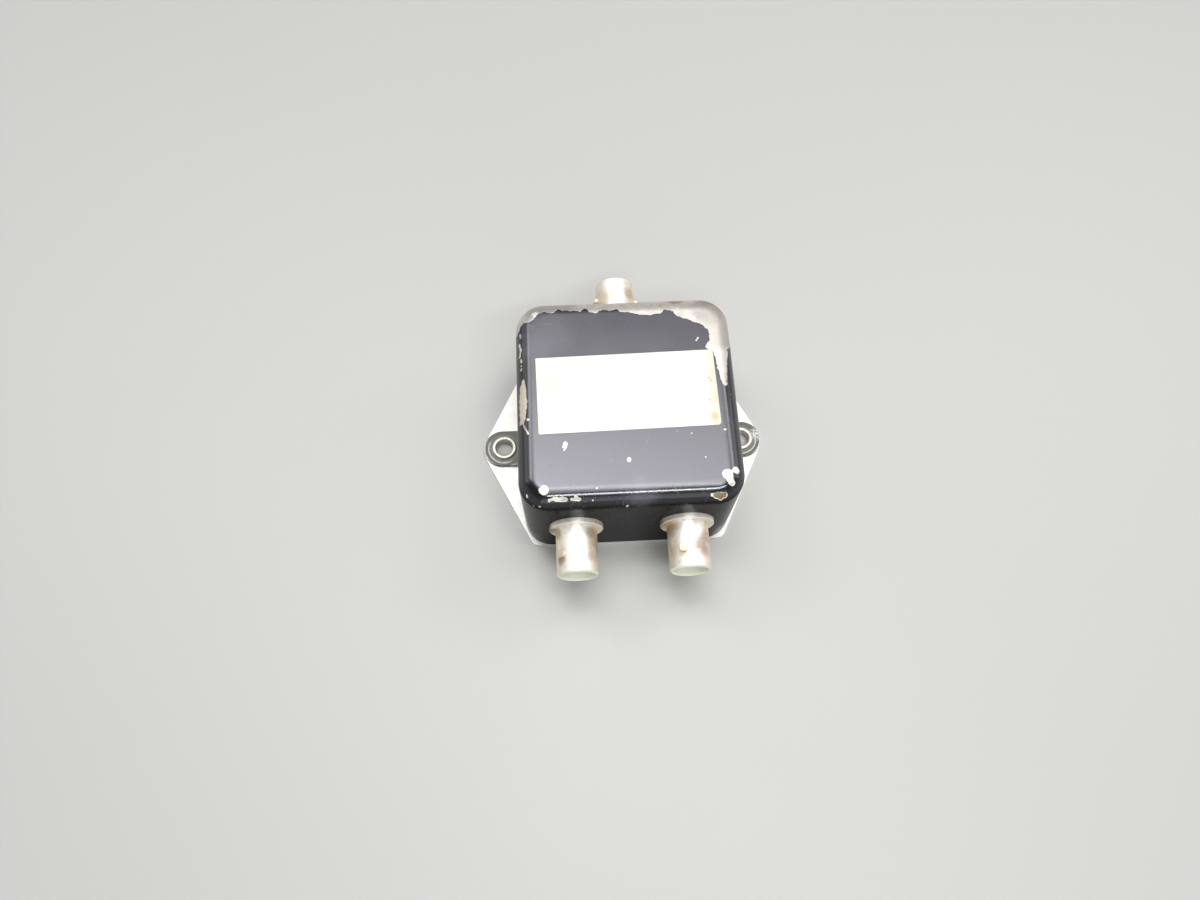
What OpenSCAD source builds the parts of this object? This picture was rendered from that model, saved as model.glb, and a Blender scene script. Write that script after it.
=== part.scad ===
// Antenna coupler: a drawn metal can on a flat base plate, with one coaxial jack at the
// rear for the antenna and two at the front for the receivers it feeds.
// The origin is on the floor under the middle of the can. X runs across, Y to the rear, Z up.

/* [Can] */
// Width of the drawn can, side to side
can_w = 50.8; // [50:0.01:62]
// Depth of the drawn can, front to rear
can_l = 51.6; // [43:0.1:62]
// Height of the can above the base plate
can_h = 30.75; // [26:0.05:40]
// Radius of the can's upright corners
corner_r = 6.85; // [5.5:0.05:8.5]
// Radius round the can's top edge
edge_r = 4.2; // [2.5:0.1:5]
// Thickness of the sheet that the can is drawn from
sheet_t = 1; // [0.6:0.05:1.3]

/* [Ears] */
// Width of an ear
ear_w = 9.4; // [8:0.1:12]
// Distance from the can's side to the centre of an ear's hole
hole_offset = 5.1; // [4.6:0.05:8]
// Distance from the centre of an ear's hole to the ear's tip
ear_end = 5.2; // [4.4:0.05:7]
// Inside radius of the bend between the can's wall and an ear
ear_bend_r = 0.8; // [0.3:0.05:1.2]

/* [Base plate] */
// Thickness of the base plate
plate_t = 1; // [0.7:0.05:2]
// How far the base plate stands out in front of and behind the can
plate_margin = 0.1; // [0:0.05:1]
// Radius of the base plate's four corners
plate_corner_r = 2.25; // [1:0.05:4]
// Distance from the can's side back to the centre of a plate corner
plate_corner_inset = 3.3; // [2:0.1:5]
// Radius of the base plate's two tips, under the ears
plate_tip_r = 6.7; // [5.5:0.1:8]

/* [Eyelets] */
// Bore of an eyelet, which takes the mounting screw
eyelet_bore_d = 4.2; // [3.2:0.01:5.1]
// Wall of an eyelet's barrel
eyelet_wall = 0.35; // [0.25:0.05:0.5]
// Width of an eyelet's rolled rim, from its bore outwards
eyelet_rim_w = 1; // [0.8:0.05:1.4]
// Thickness of an eyelet's rolled rim
eyelet_rim_t = 0.7; // [0.3:0.05:0.9]
// Depth of the countersink that holds an eyelet's flared foot
eyelet_flare = 0.6; // [0.4:0.05:0.7]

/* [Label] */
// Gap between an end of the blank label and where the roof starts to curve
label_end_gap = 0.55; // [0.4:0.05:8]
// Width of the blank label, front to rear
label_l = 19.1; // [12:0.1:24]
// Thickness of the blank label
label_t = 0.2; // [0.1:0.05:0.5]
// How far behind the can's middle the label is centred
label_y = 0.8; // [-3:0.1:3]
// Turn of the label on the can, in degrees
label_turn = 0.9; // [-3:0.1:3]

/* [Jacks] */
// Height of the jacks' axes above the floor
jack_z = 16.25; // [14:0.05:20]
// Gap between a receiver jack's lock washer and where the can's corner starts to curve
corner_gap = 0.05; // [0.02:0.01:3]
// Distance of the antenna jack's axis to the right of the middle
antenna_x = -0.5; // [-4:0.1:4]
// Diameter of a jack's flange
flange_d = 12.6; // [11.5:0.1:14]
// Thickness of a jack's flange
flange_t = 1.3; // [0.8:0.05:2]
// Length of a jack in front of the can's wall
jack_l = 12.2; // [10:0.1:15]
// Outside diameter of the barrel
barrel_d = 9.65; // [8:0.01:11.6]
// Wall of the barrel at its mouth
barrel_wall = 0.775; // [0.5:0.025:1]
// Depth of the barrel's bore
mouth_depth = 8.4; // [7:0.1:9]
// Diameter of a bayonet lug
lug_d = 2; // [1.6:0.05:2.4]
// How far a bayonet lug stands out from the barrel
lug_out = 0.675; // [0.4:0.025:1]
// Distance from the barrel's front end back to the lugs' centres
lug_back = 4.5; // [3:0.1:6]
// Turn of the antenna jack's lugs from level, in degrees
antenna_lug_turn = 8; // [-90:1:90]
// Turn of the left receiver jack's lugs from level, in degrees
left_lug_turn = 135; // [-90:1:180]
// Turn of the right receiver jack's lugs from level, in degrees
right_lug_turn = 109; // [-90:1:180]

/* [Jack body] */
// Diameter over the thread behind the flange
thread_d = 9.5; // [8:0.05:11.4]
// Length of the threaded body behind the flange
thread_l = 9; // [7:0.1:11]
// Bore that the insulator seats in
seat_d = 6.4; // [5.4:0.1:7.4]
// Length of the lip that stops the insulator at the rear
lip_l = 0.8; // [0.5:0.1:1.5]
// Opening in that lip
lip_d = 4.8; // [3:0.1:5]
// Diameter of the insulator's nose
nose_d = 4.8; // [4:0.1:5]
// Length of the insulator's nose in front of its seat
nose_l = 5.1; // [4:0.1:6]
// Outside diameter of the socket contact
contact_d = 2.2; // [2:0.05:2.6]
// Bore of the socket contact
contact_bore_d = 1.36; // [1.3:0.01:1.5]
// Depth of the socket contact's bore
contact_depth = 5.3; // [4:0.1:6]
// Diameter of the contact's stem inside the insulator
stem_d = 1.6; // [1.2:0.05:1.9]
// Diameter of the solder cup at the contact's tail
cup_d = 2.4; // [2:0.05:3]
// Length of the solder cup
cup_l = 4; // [3:0.1:6]

/* [Jack fasteners] */
// Width of the lock washer's ring, teeth included
washer_w = 0.7; // [0.6:0.05:1.2]
// Thickness of the lock washer
washer_t = 0.6; // [0.4:0.05:1]
// Number of teeth inside the lock washer
washer_teeth = 12; // [8:1:16]
// Distance across the flats of the nut
nut_flats = 12.7; // [12:0.1:14]
// Thickness of the nut
nut_t = 2.4; // [2:0.1:3.5]
// Outside diameter of the earth tag's ring
tag_d = 13.4; // [12.4:0.1:13.6]
// Thickness of the earth tag
tag_t = 0.5; // [0.3:0.05:0.8]
// Width of the earth tag's tail
tag_tail_w = 3.6; // [2:0.1:5]

/* [Circuit board] */
// Width of the circuit board
board_w = 36; // [32:0.1:40]
// Thickness of the circuit board
board_t = 1.6; // [1:0.1:2]
// Gap between the can's outer face and the circuit board's edge
board_gap = 9.3; // [9.1:0.1:9.6]
// Height of the jacks' axes above the top of the circuit board
board_drop = 5.4; // [5.1:0.1:6.4]
// Diameter of the wire from a jack to the circuit board
lead_d = 1; // [0.7:0.05:1.1]

/* [Transformer] */
// Outside diameter of the ferrite core
core_d = 9.5; // [8:0.1:10.5]
// Bore of the ferrite core
core_bore_d = 4.8; // [4.4:0.1:5.4]
// Height of the ferrite core
core_h = 3.2; // [2.5:0.1:5]
// Diameter of the winding wire
winding_wire_d = 0.5; // [0.35:0.05:0.55]
// Turns in each of the two windings
winding_turns = 7; // [4:1:7]
// Arc of the core that each winding covers, in degrees
winding_arc = 300; // [240:5:310]

/* [Resistor and capacitors] */
// Diameter of the balance resistor's body
resistor_d = 2.4; // [1.8:0.1:2.8]
// Length of the balance resistor's body
resistor_l = 6.4; // [5:0.1:8]
// Distance between the balance resistor's two wires
resistor_pitch = 10.2; // [9.6:0.1:12]
// Diameter of a capacitor's disc
capacitor_d = 5; // [4:0.1:6]
// Thickness of a capacitor's disc
capacitor_t = 2.2; // [1.6:0.1:3]
// Distance between a capacitor's two wires
capacitor_pitch = 2.5; // [2:0.1:3]
// Diameter of the resistor's and the capacitors' wires
part_wire_d = 0.6; // [0.4:0.05:0.7]

/* [Clearances] */
// Gap all round where a turned piece passes through a hole
pass_gap = 0.1; // [0.05:0.05:0.2]
// Gap all round an eyelet's barrel
eyelet_gap = 0.05; // [0.02:0.01:0.1]
// Gap all round the contact in its insulator, and round the wire in the solder cup
contact_gap = 0.02; // [0.01:0.01:0.05]
// Gap between the winding wire and the ferrite core
winding_gap = 0.03; // [0.03:0.01:0.3]
// Gap all round a wire in its hole in the circuit board
wire_gap = 0.1; // [0.05:0.05:0.2]

/* [Hidden] */
$fn = 72;

// A cut runs this far past the face that it opens
past = 1;
half_w = can_w / 2;
half_l = can_l / 2;
top_z = plate_t + can_h;

hole_x = half_w + hole_offset;
ear_tip_x = hole_x + ear_end;
ear_top_z = plate_t + sheet_t;
eyelet_r = eyelet_bore_d / 2 + eyelet_wall;
label_w = can_w - 2 * edge_r - 2 * label_end_gap;

// Along a jack, zero is the can's outer face and outwards is positive
mouth_d = barrel_d - 2 * barrel_wall;
lug_span = barrel_d + 2 * lug_out;
bore_floor = jack_l - mouth_depth;
nose_end = bore_floor + nose_l;
seat_end = lip_l - thread_l;
tail_out = 0.6;
insulator_tail = -thread_l - tail_out;
contact_recess = 0.2;
contact_front = nose_end - contact_recess;
contact_web = 1;
stem_front = contact_front - contact_depth - contact_web;
cup_gap = 0.4;
cup_start = insulator_tail - cup_gap;
cup_end = cup_start - cup_l;
cup_floor = 1;
cup_bore_depth = cup_l - cup_floor;
washer_d = thread_d + 2 * pass_gap + 2 * washer_w;
washer_z = -sheet_t - washer_t;
tag_z = washer_z - tag_t;
nut_z = tag_z - nut_t;
tag_bend_r = 0.4;
tag_lap = 2.5;
lead_bend_r = 1.4;
lead_reach = 2.5;
lead_z = cup_end - lead_reach;

board_l = can_l - 2 * board_gap;
board_top = jack_z - board_drop;
board_under = board_top - board_t;
wire_stub = 0.8;
solder_h = 0.6;

// The resistor lies along the board's front edge, and the transformer is next behind it
resistor_inset = 2.4;
resistor_y = resistor_inset - board_l / 2;
resistor_lift = 0.3;
resistor_z = board_top + resistor_d / 2 + resistor_lift;
part_bend_r = 0.8;
core_space = 2;
core_y = resistor_y + resistor_d / 2 + core_space + core_d / 2;
core_lift = 0.4;
core_z = board_top + core_lift + winding_wire_d + winding_gap;
core_round = 0.4;
winding_out = winding_gap + winding_wire_d / 2;
capacitor_inset = 3.8;
capacitor_x = board_w / 2 - capacitor_inset;
capacitor_behind_lead = 7;
capacitor_y = capacitor_behind_lead - half_l - lead_z;
capacitor_lift = 0.6;
capacitor_z = board_top + capacitor_d / 2 + capacitor_lift;
capacitor_round = 0.8;

// Each jack's place: across, front to rear, and the way it faces
receiver_x = half_w - corner_r - corner_gap - washer_d / 2;
antenna = [antenna_x, half_l, 180];
receiver_left = [-receiver_x, -half_l, 0];
receiver_right = [receiver_x, -half_l, 0];
jacks = [antenna, receiver_left, receiver_right];

// Each winding starts at its own angle round the core
primary_start = 30;
secondary_start = primary_start + winding_arc / winding_turns / 2;

// Flat shapes

// Rectangle about the origin with round corners
module rounded_rect(w, l, r) {
    square([w - 2 * r, l], center = true);
    square([w, l - 2 * r], center = true);
    for (x = [-1, 1], y = [-1, 1])
        translate([x * (w / 2 - r), y * (l / 2 - r)]) circle(r);
}

// Outward direction of the line that touches circles a and b, each [x, y, radius]
function belt_side(a, b) =
    let (dx = b[0] - a[0], dy = b[1] - a[1])
    atan2(dy, dx) - acos((a[2] - b[2]) / norm([dx, dy]));

// Outline drawn tight round a ring of circles, which are given anticlockwise
module belt(circles) {
    count = len(circles);
    polygon([for (i = [0:count - 1], at_end = [false, true])
        let (a = circles[i], b = circles[(i + 1) % count], side = belt_side(a, b),
            c = at_end ? b : a)
        [c[0] + c[2] * cos(side), c[1] + c[2] * sin(side)]]);
    for (c = circles) translate([c[0], c[1]]) circle(c[2]);
}

// Quarter of a ring in the corner where both coordinates are negative
module quarter_ring(inside_r, thickness) {
    difference() {
        intersection() {
            circle(inside_r + thickness);
            translate([-inside_r - thickness, -inside_r - thickness])
                square(inside_r + thickness);
        }
        circle(inside_r);
    }
}

// Drawn can

// Half-section of a wall block: a square foot, and a quarter round at the top outer edge
module block_profile(reach, h, edge) {
    square([reach, h - edge]);
    square([reach - edge, h]);
    translate([reach - edge, h - edge])
        intersection() {
            circle(edge);
            square(edge);
        }
}

// Block with round upright corners and a round top edge, standing on the floor plane
module rounded_block(w, l, h, corner, edge) {
    inner_w = w - 2 * corner;
    inner_l = l - 2 * corner;
    translate([-inner_w / 2, -inner_l / 2, 0]) cube([inner_w, inner_l, h]);
    for (turn = [0, 180]) rotate(turn) {
        translate([inner_w / 2, inner_l / 2, 0])
            rotate([90, 0, 0]) linear_extrude(inner_l) block_profile(corner, h, edge);
        translate([-inner_w / 2, inner_l / 2, 0])
            rotate([90, 0, 90]) linear_extrude(inner_w) block_profile(corner, h, edge);
        translate([inner_w / 2, inner_l / 2, 0])
            rotate_extrude(angle = 90) block_profile(corner, h, edge);
        translate([-inner_w / 2, inner_l / 2, 0])
            rotate(90) rotate_extrude(angle = 90) block_profile(corner, h, edge);
    }
}

// The can's wall and roof, open underneath
module can_shell() {
    translate([0, 0, plate_t])
        difference() {
            rounded_block(can_w, can_l, can_h, corner_r, edge_r);
            translate([0, 0, -past])
                rounded_block(can_w - 2 * sheet_t, can_l - 2 * sheet_t,
                    can_h - sheet_t + past, corner_r - sheet_t, edge_r - sheet_t);
        }
}

// Ear on the right: the wall turns outwards and lies on the base plate
module ear() {
    bend_x = half_w + ear_bend_r;
    round_x = ear_tip_x - ear_w / 2;
    translate([bend_x, ear_w / 2, ear_top_z + ear_bend_r])
        rotate([90, 0, 0]) linear_extrude(ear_w) quarter_ring(ear_bend_r, sheet_t);
    translate([0, 0, plate_t])
        linear_extrude(sheet_t) {
            translate([bend_x, -ear_w / 2]) square([round_x - bend_x, ear_w]);
            translate([round_x, 0]) circle(ear_w / 2);
        }
}

// What the wall loses where it turns into the right ear
module ear_slot() {
    translate([half_w - sheet_t - past, -ear_w / 2, plate_t - past])
        cube([sheet_t + 2 * past, ear_w, sheet_t + ear_bend_r + past]);
}

module housing() {
    color("#2b2a2e")
        difference() {
            union() {
                difference() {
                    can_shell();
                    for (turn = [0, 180]) rotate(turn) ear_slot();
                }
                for (turn = [0, 180]) rotate(turn) ear();
            }
            for (turn = [0, 180])
                rotate(turn) translate([hole_x, 0, plate_t - past])
                    cylinder(r = eyelet_r + eyelet_gap, h = sheet_t + 2 * past);
            for (jack = jacks)
                at_jack(jack) translate([0, 0, -sheet_t - past])
                    cylinder(d = thread_d + 2 * pass_gap, h = sheet_t + 2 * past);
        }
}

// Base plate and eyelets

// Four corners and two tips, anticlockwise from the right tip
module plate_outline() {
    x = half_w - plate_corner_inset;
    y = half_l + plate_margin - plate_corner_r;
    tip_x = ear_tip_x - plate_tip_r;
    belt([[tip_x, 0, plate_tip_r], [x, y, plate_corner_r], [-x, y, plate_corner_r],
        [-tip_x, 0, plate_tip_r], [-x, -y, plate_corner_r], [x, -y, plate_corner_r]]);
}

module base_plate() {
    hole_r = eyelet_r + eyelet_gap;
    color("#d9d6cf")
        difference() {
            linear_extrude(plate_t) plate_outline();
            for (x = [-hole_x, hole_x])
                translate([x, 0, 0]) {
                    translate([0, 0, -past]) cylinder(r = hole_r, h = plate_t + 2 * past);
                    cylinder(r1 = hole_r + eyelet_flare, r2 = hole_r, h = eyelet_flare);
                    translate([0, 0, -past]) cylinder(r = hole_r + eyelet_flare, h = past);
                }
        }
}

// Hollow rivet: a rolled rim on the ear, and a foot flared into the plate's countersink
module eyelet() {
    bore_r = eyelet_bore_d / 2;
    rim_r = bore_r + eyelet_rim_w;
    roll_r = eyelet_rim_t / 2;
    color("#c9c4b8")
        rotate_extrude() {
            polygon([[bore_r, eyelet_flare], [bore_r + eyelet_flare, 0],
                [eyelet_r + eyelet_gap + eyelet_flare, 0], [eyelet_r, eyelet_flare + eyelet_gap],
                [eyelet_r, ear_top_z + roll_r], [bore_r, ear_top_z + roll_r]]);
            translate([bore_r + roll_r, ear_top_z])
                square([rim_r - bore_r - 2 * roll_r, eyelet_rim_t]);
            for (r = [bore_r + roll_r, rim_r - roll_r])
                translate([r, ear_top_z + roll_r]) circle(roll_r);
        }
}

module eyelet_left() translate([-hole_x, 0, 0]) eyelet();
module eyelet_right() translate([hole_x, 0, 0]) eyelet();

// Blank label stuck on the roof
module label_plate() {
    label_corner_r = 0.6;
    color("#d8d2bf")
        translate([0, label_y, top_z]) rotate(label_turn)
            linear_extrude(label_t) rounded_rect(label_w, label_l, label_corner_r);
}

// Coaxial jack pieces, which stand on the origin and point up before they are placed

// Puts a jack's piece in its wall, with the jack's own up kept upwards
module at_jack(jack) {
    translate([jack[0], jack[1], jack_z]) rotate([90, 0, jack[2]]) children();
}

module jack_shell(lug_turn) {
    barrel_r = barrel_d / 2;
    thread_r = thread_d / 2;
    flange_r = flange_d / 2;
    bevel = 0.2;
    mouth_bevel = 0.35;
    color("#cfcabb")
        difference() {
            union() {
                rotate_extrude()
                    polygon([[0, -thread_l], [thread_r - bevel, -thread_l],
                        [thread_r, bevel - thread_l], [thread_r, 0], [flange_r, 0],
                        [flange_r, flange_t - bevel], [flange_r - bevel, flange_t],
                        [barrel_r + bevel, flange_t], [barrel_r, flange_t + bevel],
                        [barrel_r, jack_l - mouth_bevel],
                        [barrel_r - mouth_bevel, jack_l], [0, jack_l]]);
                rotate(lug_turn) translate([0, 0, jack_l - lug_back])
                    rotate([0, 90, 0]) cylinder(d = lug_d, h = lug_span, center = true);
            }
            translate([0, 0, bore_floor]) cylinder(d = mouth_d, h = mouth_depth + past);
            translate([0, 0, jack_l - mouth_bevel])
                cylinder(d1 = mouth_d, d2 = mouth_d + mouth_bevel, h = mouth_bevel);
            translate([0, 0, seat_end]) cylinder(d = seat_d, h = bore_floor - seat_end + past);
            translate([0, 0, -thread_l - past])
                cylinder(d = lip_d, h = thread_l + past);
        }
}

// Outline of the contact from its axis outwards, enlarged by a gap on the radius
module contact_outline(gap) {
    polygon([[0, cup_end], [cup_d / 2, cup_end], [cup_d / 2, cup_start],
        [stem_d / 2 + gap, cup_start], [stem_d / 2 + gap, stem_front],
        [contact_d / 2 + gap, stem_front], [contact_d / 2 + gap, contact_front],
        [0, contact_front]]);
}

module jack_insulator() {
    body_r = seat_d / 2;
    nose_r = nose_d / 2;
    tail_r = lip_d / 2 - pass_gap;
    bevel = 0.2;
    color("#ece7d8")
        difference() {
            rotate_extrude()
                polygon([[0, insulator_tail], [tail_r, insulator_tail], [tail_r, seat_end],
                    [body_r, seat_end], [body_r, bore_floor], [nose_r, bore_floor],
                    [nose_r, nose_end - bevel], [nose_r - bevel, nose_end], [0, nose_end]]);
            rotate_extrude() contact_outline(contact_gap);
            translate([0, 0, contact_front])
                cylinder(d = contact_d + 2 * contact_gap, h = nose_end - contact_front + past);
        }
}

// Slotted socket in front, stem through the insulator, and solder cup cut open at the top
module jack_contact() {
    slot_w = 0.3;
    unslotted = 1.3;
    slot_depth = contact_depth - unslotted;
    cup_bore_d = lead_d + 2 * contact_gap;
    color("#d2b56a")
        difference() {
            rotate_extrude() contact_outline(0);
            translate([0, 0, contact_front - contact_depth])
                cylinder(d = contact_bore_d, h = contact_depth + past);
            translate([-contact_d, -slot_w / 2, contact_front - slot_depth])
                cube([2 * contact_d, slot_w, slot_depth + past]);
            translate([0, 0, cup_end - past])
                cylinder(d = cup_bore_d, h = cup_bore_depth + past);
            translate([-cup_d, 0, cup_end - past])
                cube([2 * cup_d, cup_d, cup_bore_depth / 2 + past]);
        }
}

module jack_lock_washer() {
    hole_r = thread_d / 2 + pass_gap;
    root_r = (hole_r + washer_d / 2) / 2;
    gap_turn = 360 / washer_teeth;
    gap_w = PI * hole_r / washer_teeth;
    color("#8d8b86")
        translate([0, 0, washer_z])
            linear_extrude(washer_t)
                difference() {
                    circle(d = washer_d);
                    circle(hole_r);
                    for (i = [1:washer_teeth])
                        rotate(i * gap_turn) translate([0, -gap_w / 2]) square([root_r, gap_w]);
                }
}

// Ring under the nut, with a tail bent back to lie under the circuit board
module jack_earth_tag() {
    drop = board_drop + board_t;
    bend_y = tag_bend_r - drop;
    bend_z = tag_z - tag_bend_r;
    tail_end = -board_gap - tag_lap;
    color("#b9a36c")
        difference() {
            union() {
                translate([0, 0, tag_z]) cylinder(d = tag_d, h = tag_t);
                translate([-tag_tail_w / 2, bend_y, tag_z])
                    cube([tag_tail_w, -bend_y, tag_t]);
                translate([-tag_tail_w / 2, bend_y, bend_z])
                    rotate([90, 0, 90]) linear_extrude(tag_tail_w) mirror([0, 1])
                        quarter_ring(tag_bend_r, tag_t);
                translate([-tag_tail_w / 2, -drop - tag_t, tail_end])
                    cube([tag_tail_w, tag_t, bend_z - tail_end]);
            }
            translate([0, 0, tag_z - past])
                cylinder(d = thread_d + 2 * pass_gap, h = tag_t + 2 * past);
        }
}

// Hexagon nut with its corners turned off on both faces
module jack_nut() {
    hex_r = nut_flats / sqrt(3);
    blank_r = hex_r + past;
    turned_r = nut_flats / 2;
    bevel_angle = 22;
    bevel_h = (blank_r - turned_r) * tan(bevel_angle);
    color("#b8b4aa")
        translate([0, 0, nut_z])
            difference() {
                intersection() {
                    cylinder(r = hex_r, h = nut_t, $fn = 6);
                    rotate_extrude()
                        polygon([[0, 0], [turned_r, 0], [blank_r, bevel_h],
                            [blank_r, nut_t - bevel_h], [turned_r, nut_t], [0, nut_t]]);
                }
                translate([0, 0, -past])
                    cylinder(d = thread_d + pass_gap, h = nut_t + 2 * past);
            }
}

// Wire that runs down the axis from the origin, bends to its own down side and goes on
module bent_wire(d, run, bend_r, drop) {
    translate([0, 0, -run + bend_r]) cylinder(d = d, h = run - bend_r);
    translate([0, -bend_r, -run + bend_r]) rotate([90, 0, 90]) rotate(-90)
        rotate_extrude(angle = 90) translate([bend_r, 0]) circle(d = d);
    translate([0, -bend_r, -run]) rotate([90, 0, 0]) cylinder(d = d, h = drop - bend_r);
}

// Wire from a jack's solder cup to the circuit board
module jack_lead() {
    end_gap = 0.4;
    start = cup_end + cup_bore_depth - end_gap;
    color("#cdb98a")
        translate([0, 0, start])
            bent_wire(lead_d, start - lead_z, lead_bend_r, board_drop + board_t + wire_stub);
}

module antenna_shell() at_jack(antenna) jack_shell(antenna_lug_turn);
module antenna_insulator() at_jack(antenna) jack_insulator();
module antenna_contact() at_jack(antenna) jack_contact();
module antenna_lock_washer() at_jack(antenna) jack_lock_washer();
module antenna_earth_tag() at_jack(antenna) jack_earth_tag();
module antenna_nut() at_jack(antenna) jack_nut();
module antenna_lead() at_jack(antenna) jack_lead();

module receiver_left_shell() at_jack(receiver_left) jack_shell(left_lug_turn);
module receiver_left_insulator() at_jack(receiver_left) jack_insulator();
module receiver_left_contact() at_jack(receiver_left) jack_contact();
module receiver_left_lock_washer() at_jack(receiver_left) jack_lock_washer();
module receiver_left_earth_tag() at_jack(receiver_left) jack_earth_tag();
module receiver_left_nut() at_jack(receiver_left) jack_nut();
module receiver_left_lead() at_jack(receiver_left) jack_lead();

module receiver_right_shell() at_jack(receiver_right) jack_shell(right_lug_turn);
module receiver_right_insulator() at_jack(receiver_right) jack_insulator();
module receiver_right_contact() at_jack(receiver_right) jack_contact();
module receiver_right_lock_washer() at_jack(receiver_right) jack_lock_washer();
module receiver_right_earth_tag() at_jack(receiver_right) jack_earth_tag();
module receiver_right_nut() at_jack(receiver_right) jack_nut();
module receiver_right_lead() at_jack(receiver_right) jack_lead();

// Circuit board and what is on it

// Wire hole in the circuit board, with the origin on the wire's axis
module board_hole(d) {
    translate([0, 0, board_under - past]) cylinder(d = d + 2 * wire_gap, h = board_t + 2 * past);
}

// Every wire that goes down through the circuit board, each [x, y, diameter]
function board_wires() = concat(
    [for (jack = jacks) [jack[0], sign(jack[1]) * (half_l + lead_z), lead_d]],
    [for (side = [-1, 1]) [side * resistor_pitch / 2, resistor_y, part_wire_d]],
    [for (side = [-1, 1], wire = [-1, 1])
        [side * capacitor_x + wire * capacitor_pitch / 2, capacitor_y, part_wire_d]],
    [for (start = [primary_start, secondary_start], angle = [start, start + winding_arc])
        let (place = on_core(core_d / 2 + winding_out, angle, 0))
        [place[0], place[1], winding_wire_d]]);

module circuit_board() {
    color("#3f6b46")
        difference() {
            translate([-board_w / 2, -board_l / 2, board_under])
                cube([board_w, board_l, board_t]);
            for (wire = board_wires())
                translate([wire[0], wire[1], 0]) board_hole(wire[2]);
        }
}

// Cone of solder round each wire under the board
module solder_joints() {
    color("#a9acae")
        for (wire = board_wires())
            translate([wire[0], wire[1], board_under])
                rotate_extrude()
                    translate([wire[2] / 2, 0])
                        polygon([[0, 0], [solder_h, 0], [solder_h / 3, -solder_h / 2],
                            [0, -solder_h]]);
}

// Point at a distance and an angle from the core's axis
function on_core(radius, angle, z) =
    [radius * cos(angle), core_y + radius * sin(angle), z];

module transformer_core() {
    wall = (core_d - core_bore_d) / 2;
    color("#4a4644")
        translate([0, core_y, core_z])
            rotate_extrude()
                translate([core_bore_d / 2 + wall / 2, core_h / 2])
                    rounded_rect(wall, core_h, core_round);
}

// Corners of one turn of wire round the core's section, each [distance from axis, height]
function turn_corners() =
    let (inner = core_bore_d / 2 - winding_out, outer = core_d / 2 + winding_out,
        low = core_z - winding_out, high = core_z + core_h + winding_out, cut = core_round)
    [[outer, low + cut], [outer, high - cut], [outer - cut, high], [inner + cut, high],
        [inner, high - cut], [inner, low + cut], [inner + cut, low], [outer - cut, low]];

// A winding's route, each point [distance from axis, height, angle]: up through the circuit
// board, round the core turn by turn, and down through the board again
function winding_route(start) =
    let (corners = turn_corners(), count = len(corners), outer = corners[0][0],
        pitch = winding_arc / winding_turns, below = board_under - wire_stub,
        finish = start + winding_arc)
    concat([[outer, below, start]],
        [for (turn = [0:winding_turns - 1], i = [0:count - 1])
            [corners[i][0], corners[i][1], start + pitch * (turn + i / count)]],
        [[outer, core_z - winding_out - core_round, finish], [outer, below, finish]]);

function unit(v) = v / norm(v);

// Ring of points round one point of a route, square to the way that the wire runs there
function wire_ring(places, angles, i, sides) =
    let (last = len(places) - 1, along = unit(places[min(i + 1, last)] - places[max(i - 1, 0)]),
        across = unit(cross(along, [-sin(angles[i]), cos(angles[i]), 0])),
        over = cross(along, across))
    [for (k = [0:sides - 1])
        let (turn = 360 * k / sides)
        places[i] + winding_wire_d / 2 * (cos(turn) * across + sin(turn) * over)];

module winding(start) {
    sides = 8;
    route = winding_route(start);
    angles = [for (p = route) p[2]];
    places = [for (p = route) on_core(p[0], p[2], p[1])];
    last = len(route) - 1;
    points = [for (i = [0:last]) each wire_ring(places, angles, i, sides)];
    walls = [for (i = [0:last - 1], k = [0:sides - 1])
        let (a = i * sides + k, b = i * sides + (k + 1) % sides)
        each [[a, a + sides, b + sides], [a, b + sides, b]]];
    ends = [[for (k = [0:sides - 1]) k], [for (k = [0:sides - 1]) (last + 1) * sides - 1 - k]];
    polyhedron(points, concat(walls, ends));
}

module primary_winding() color("#b5642e") winding(primary_start);
module secondary_winding() color("#7d2f22") winding(secondary_start);

module balance_resistor() {
    r = resistor_d / 2;
    waist = 0.15;
    cap_l = resistor_l / 4;
    bevel = 0.3;
    into = 0.5;
    color("#a9855a")
        translate([0, resistor_y, resistor_z])
            for (turn = [0, 180]) rotate(turn) {
                rotate([0, 90, 0])
                    rotate_extrude()
                        polygon([[0, 0], [r - waist, 0],
                            [r - waist, resistor_l / 2 - cap_l - waist],
                            [r, resistor_l / 2 - cap_l], [r, resistor_l / 2 - bevel],
                            [r - bevel, resistor_l / 2], [0, resistor_l / 2]]);
                translate([resistor_l / 2 - into, 0, 0]) rotate([90, 0, -90])
                    bent_wire(part_wire_d, resistor_pitch / 2 - resistor_l / 2 + into,
                        part_bend_r, resistor_z - board_under + wire_stub);
            }
}

// Dipped disc on two wires that go down through the board
module capacitor() {
    r = capacitor_d / 2;
    foot = board_under - wire_stub;
    color("#c98b3a") {
        translate([0, 0, capacitor_z]) rotate([90, 0, 0])
            rotate_extrude()
                intersection() {
                    rounded_rect(capacitor_d, capacitor_t, capacitor_round);
                    translate([0, -capacitor_t]) square([r, 2 * capacitor_t]);
                }
        for (wire = [-1, 1])
            translate([wire * capacitor_pitch / 2, 0, foot])
                cylinder(d = part_wire_d, h = capacitor_z - foot);
    }
}

module capacitor_left() translate([-capacitor_x, capacitor_y, 0]) capacitor();
module capacitor_right() translate([capacitor_x, capacitor_y, 0]) capacitor();

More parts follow.
